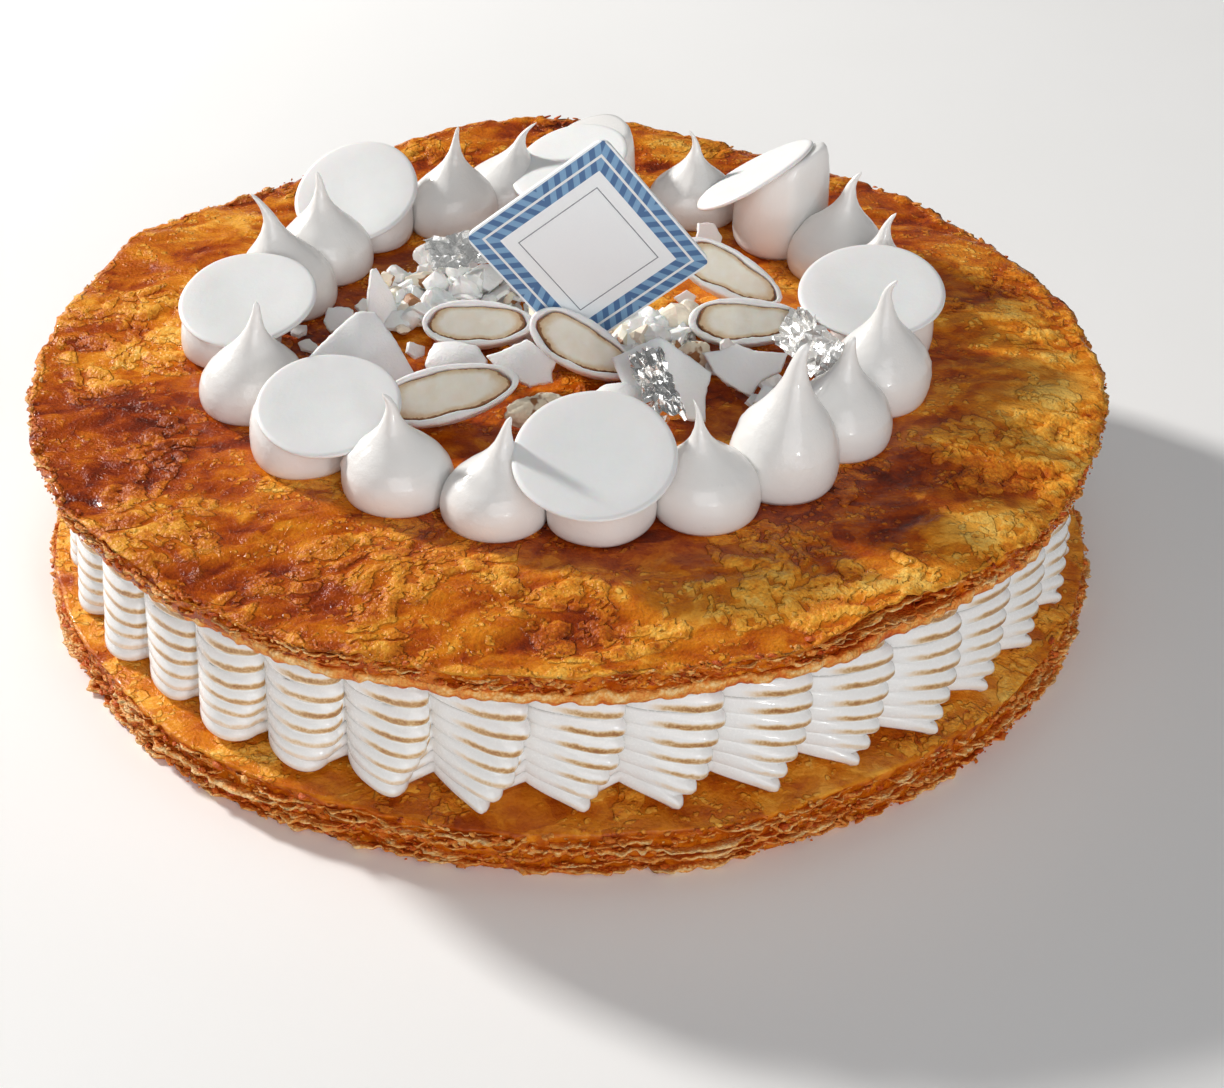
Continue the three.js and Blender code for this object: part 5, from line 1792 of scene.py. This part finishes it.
def foil_faces(columns, rows):
    """Triangles of a thin sheet: both sides and the border between them."""
    count = rows * columns
    faces = grid_faces(rows, columns, closed=False)
    faces += [[corner + count for corner in face[::-1]] for face in faces]
    border = [*range(columns), *range(2 * columns - 1, count, columns)]
    border += [*range(count - 2, count - columns - 1, -1), *range(count - 2 * columns, 0, -columns)]
    faces += [[b, a, a + count, b + count] for a, b in zip(border, border[1:] + border[:1])]
    return [[face[0], *pair] for face in faces for pair in (face[1:3], face[2:4])]


def crumpled_sheet(half_across, half_along, number):
    """Points of a crumpled sheet, across, along and off its plane."""
    random = np.random.default_rng(120 + number)
    u, v = np.meshgrid(np.linspace(-1, 1, FOIL_COLUMNS), np.linspace(-1, 1, FOIL_ROWS))
    cell = np.array([2 / FOIL_COLUMNS, 2 / FOIL_ROWS])[:, None, None]
    jitter = 0.7 * (random.random((2, FOIL_ROWS, FOIL_COLUMNS)) - 0.5) * cell
    flat = np.stack([u * half_across, v * half_along, np.full_like(u, 10.0 * number)], axis=-1)
    edge = 1 - 0.22 * np.abs(noise(flat, 2.6, 120)) - 0.14 * np.abs(noise(flat, 1.1, 121))
    crease = np.abs(noise(flat * [1, 0.5, 1], 3.4, 122 + number)) + 0.4 * np.abs(noise(flat, 1.6, 125))
    crumple = 1.9 * crease - 0.8 + 0.6 * noise(flat, 6, 123)
    crumple = crumple + 0.7 * (random.random((FOIL_ROWS, FOIL_COLUMNS)) - 0.5)
    across, along = (u + jitter[0]) * half_across * edge, (v + jitter[1]) * half_along * edge
    return np.stack([across, along, crumple], axis=-1).reshape(-1, 3)


print("faces of a leaf", len(foil_faces(FOIL_COLUMNS, FOIL_ROWS)))


# %% Silver leaves
def add_leaf(number, material):
    node = f"silver_leaf_{number}"
    middle, across, along, normal = plane_of(node)
    corners = node_points(node) - middle
    half_across, half_along = np.abs(corners @ across).max(), np.abs(corners @ along).max()
    sheet = crumpled_sheet(half_across, half_along, number)
    points = middle + sheet @ np.array([across, along, normal])
    points = np.concatenate([points, points - FOIL_THICKNESS * normal])
    faces = foil_faces(FOIL_COLUMNS, FOIL_ROWS)
    add_piece(node + "_foil", points, faces, material, "silver_leaf", [node]).data.shade_flat()


for number, material in ((1, bright_silver), (2, worn_silver), (3, worn_silver)):
    add_leaf(number, material)

# %% [markdown]
# ## Card
# The card is printed: slanted bars of two blues round its edge, with a white line through them,
# then a thin grey frame round a plain middle, and nothing on its back. An image could hold the
# print, but the finish can work it out: it measures each point along the card's own two edges and
# draws bars and lines from that. The card keeps its packed shape.

# %% Card print
CARD_TURN, CARD_TILT = math.radians(38.5), math.radians(93)
CARD_HALF = 18.25
CARD_MIDDLE = box_middle(node_points("card"))
BAR_PITCH, BAR_SLANT = 3.0, 0.6
# How far in from the edge each line starts and ends, and how soft it is.
BAND, RAIL, FRAME_LINE = (0.40, 5.28, 0.08), (2.55, 3.15, 0.07), (7.85, 8.13, 0.05)
edge_u, edge_v, facing = turn_about(2, CARD_TURN) @ turn_about(0, CARD_TILT)
print("card middle", CARD_MIDDLE.round(2))


def card_build(tint):
    place = tint.node("TexCoord", output=3)
    centre = tuple(((CARD_MIDDLE + AXIS) * MM).tolist())
    place = tint.node("VectorMath", {"operation": "SUBTRACT"}, {0: place, 1: centre})

    def along(axis):
        sockets = {0: place, 1: tuple((axis / MM).tolist())}
        return tint.node("VectorMath", {"operation": "DOT_PRODUCT"}, sockets, output=1)

    def stripe(start, end, soft):
        return inset.step(start, start + soft) * inset.step(end, end - soft)

    far_u, far_v = abs(along(edge_u)), abs(along(edge_v))
    front = along(facing).step(-0.05, 0.0)
    inset = CARD_HALF - tint.maths("MAXIMUM", far_u, far_v)
    runner = tint.maths("MINIMUM", far_u, far_v)
    slant = tint.maths("FRACT", (runner + BAR_SLANT * inset) * (1 / BAR_PITCH))
    blues = tint.grain(1.2, 3).blend((120, 164, 204), (138, 178, 212))
    blues = abs(slant - 0.5).step(0.24, 0.27).blend(blues, (80, 118, 164))
    paper = tint.grain(0.4, 2).blend((245, 250, 254), (250, 254, 255))
    colour = stripe(*BAND).blend(paper, blues)
    colour = stripe(*RAIL).blend(colour, (240, 242, 243))
    colour = stripe(*FRAME_LINE).blend(colour, (126, 132, 140))
    return {
        "Base Color": front.blend(paper, colour),
        "Roughness": 0.38 + 0.08 * tint.grain(1.5, 2),
        "Normal": tint.bump(tint.grain(0.25, 2), 0.015),
    }


card_finish = finish("printed_card", card_build, IOR=1.45)
card_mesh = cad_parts["card"].data
card_mesh.materials.clear()
card_mesh.materials.append(card_finish)

# %% [markdown]
# ## Sizes
# The dressed cake has to keep the packed part's size, so both boxes are worked out side by side.

# %% The boxes of the part and of the dressed cake
boxes = {"cad": cad_box, "visual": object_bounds()}
{key: [list(corner) for corner in box] for key, box in boxes.items()}
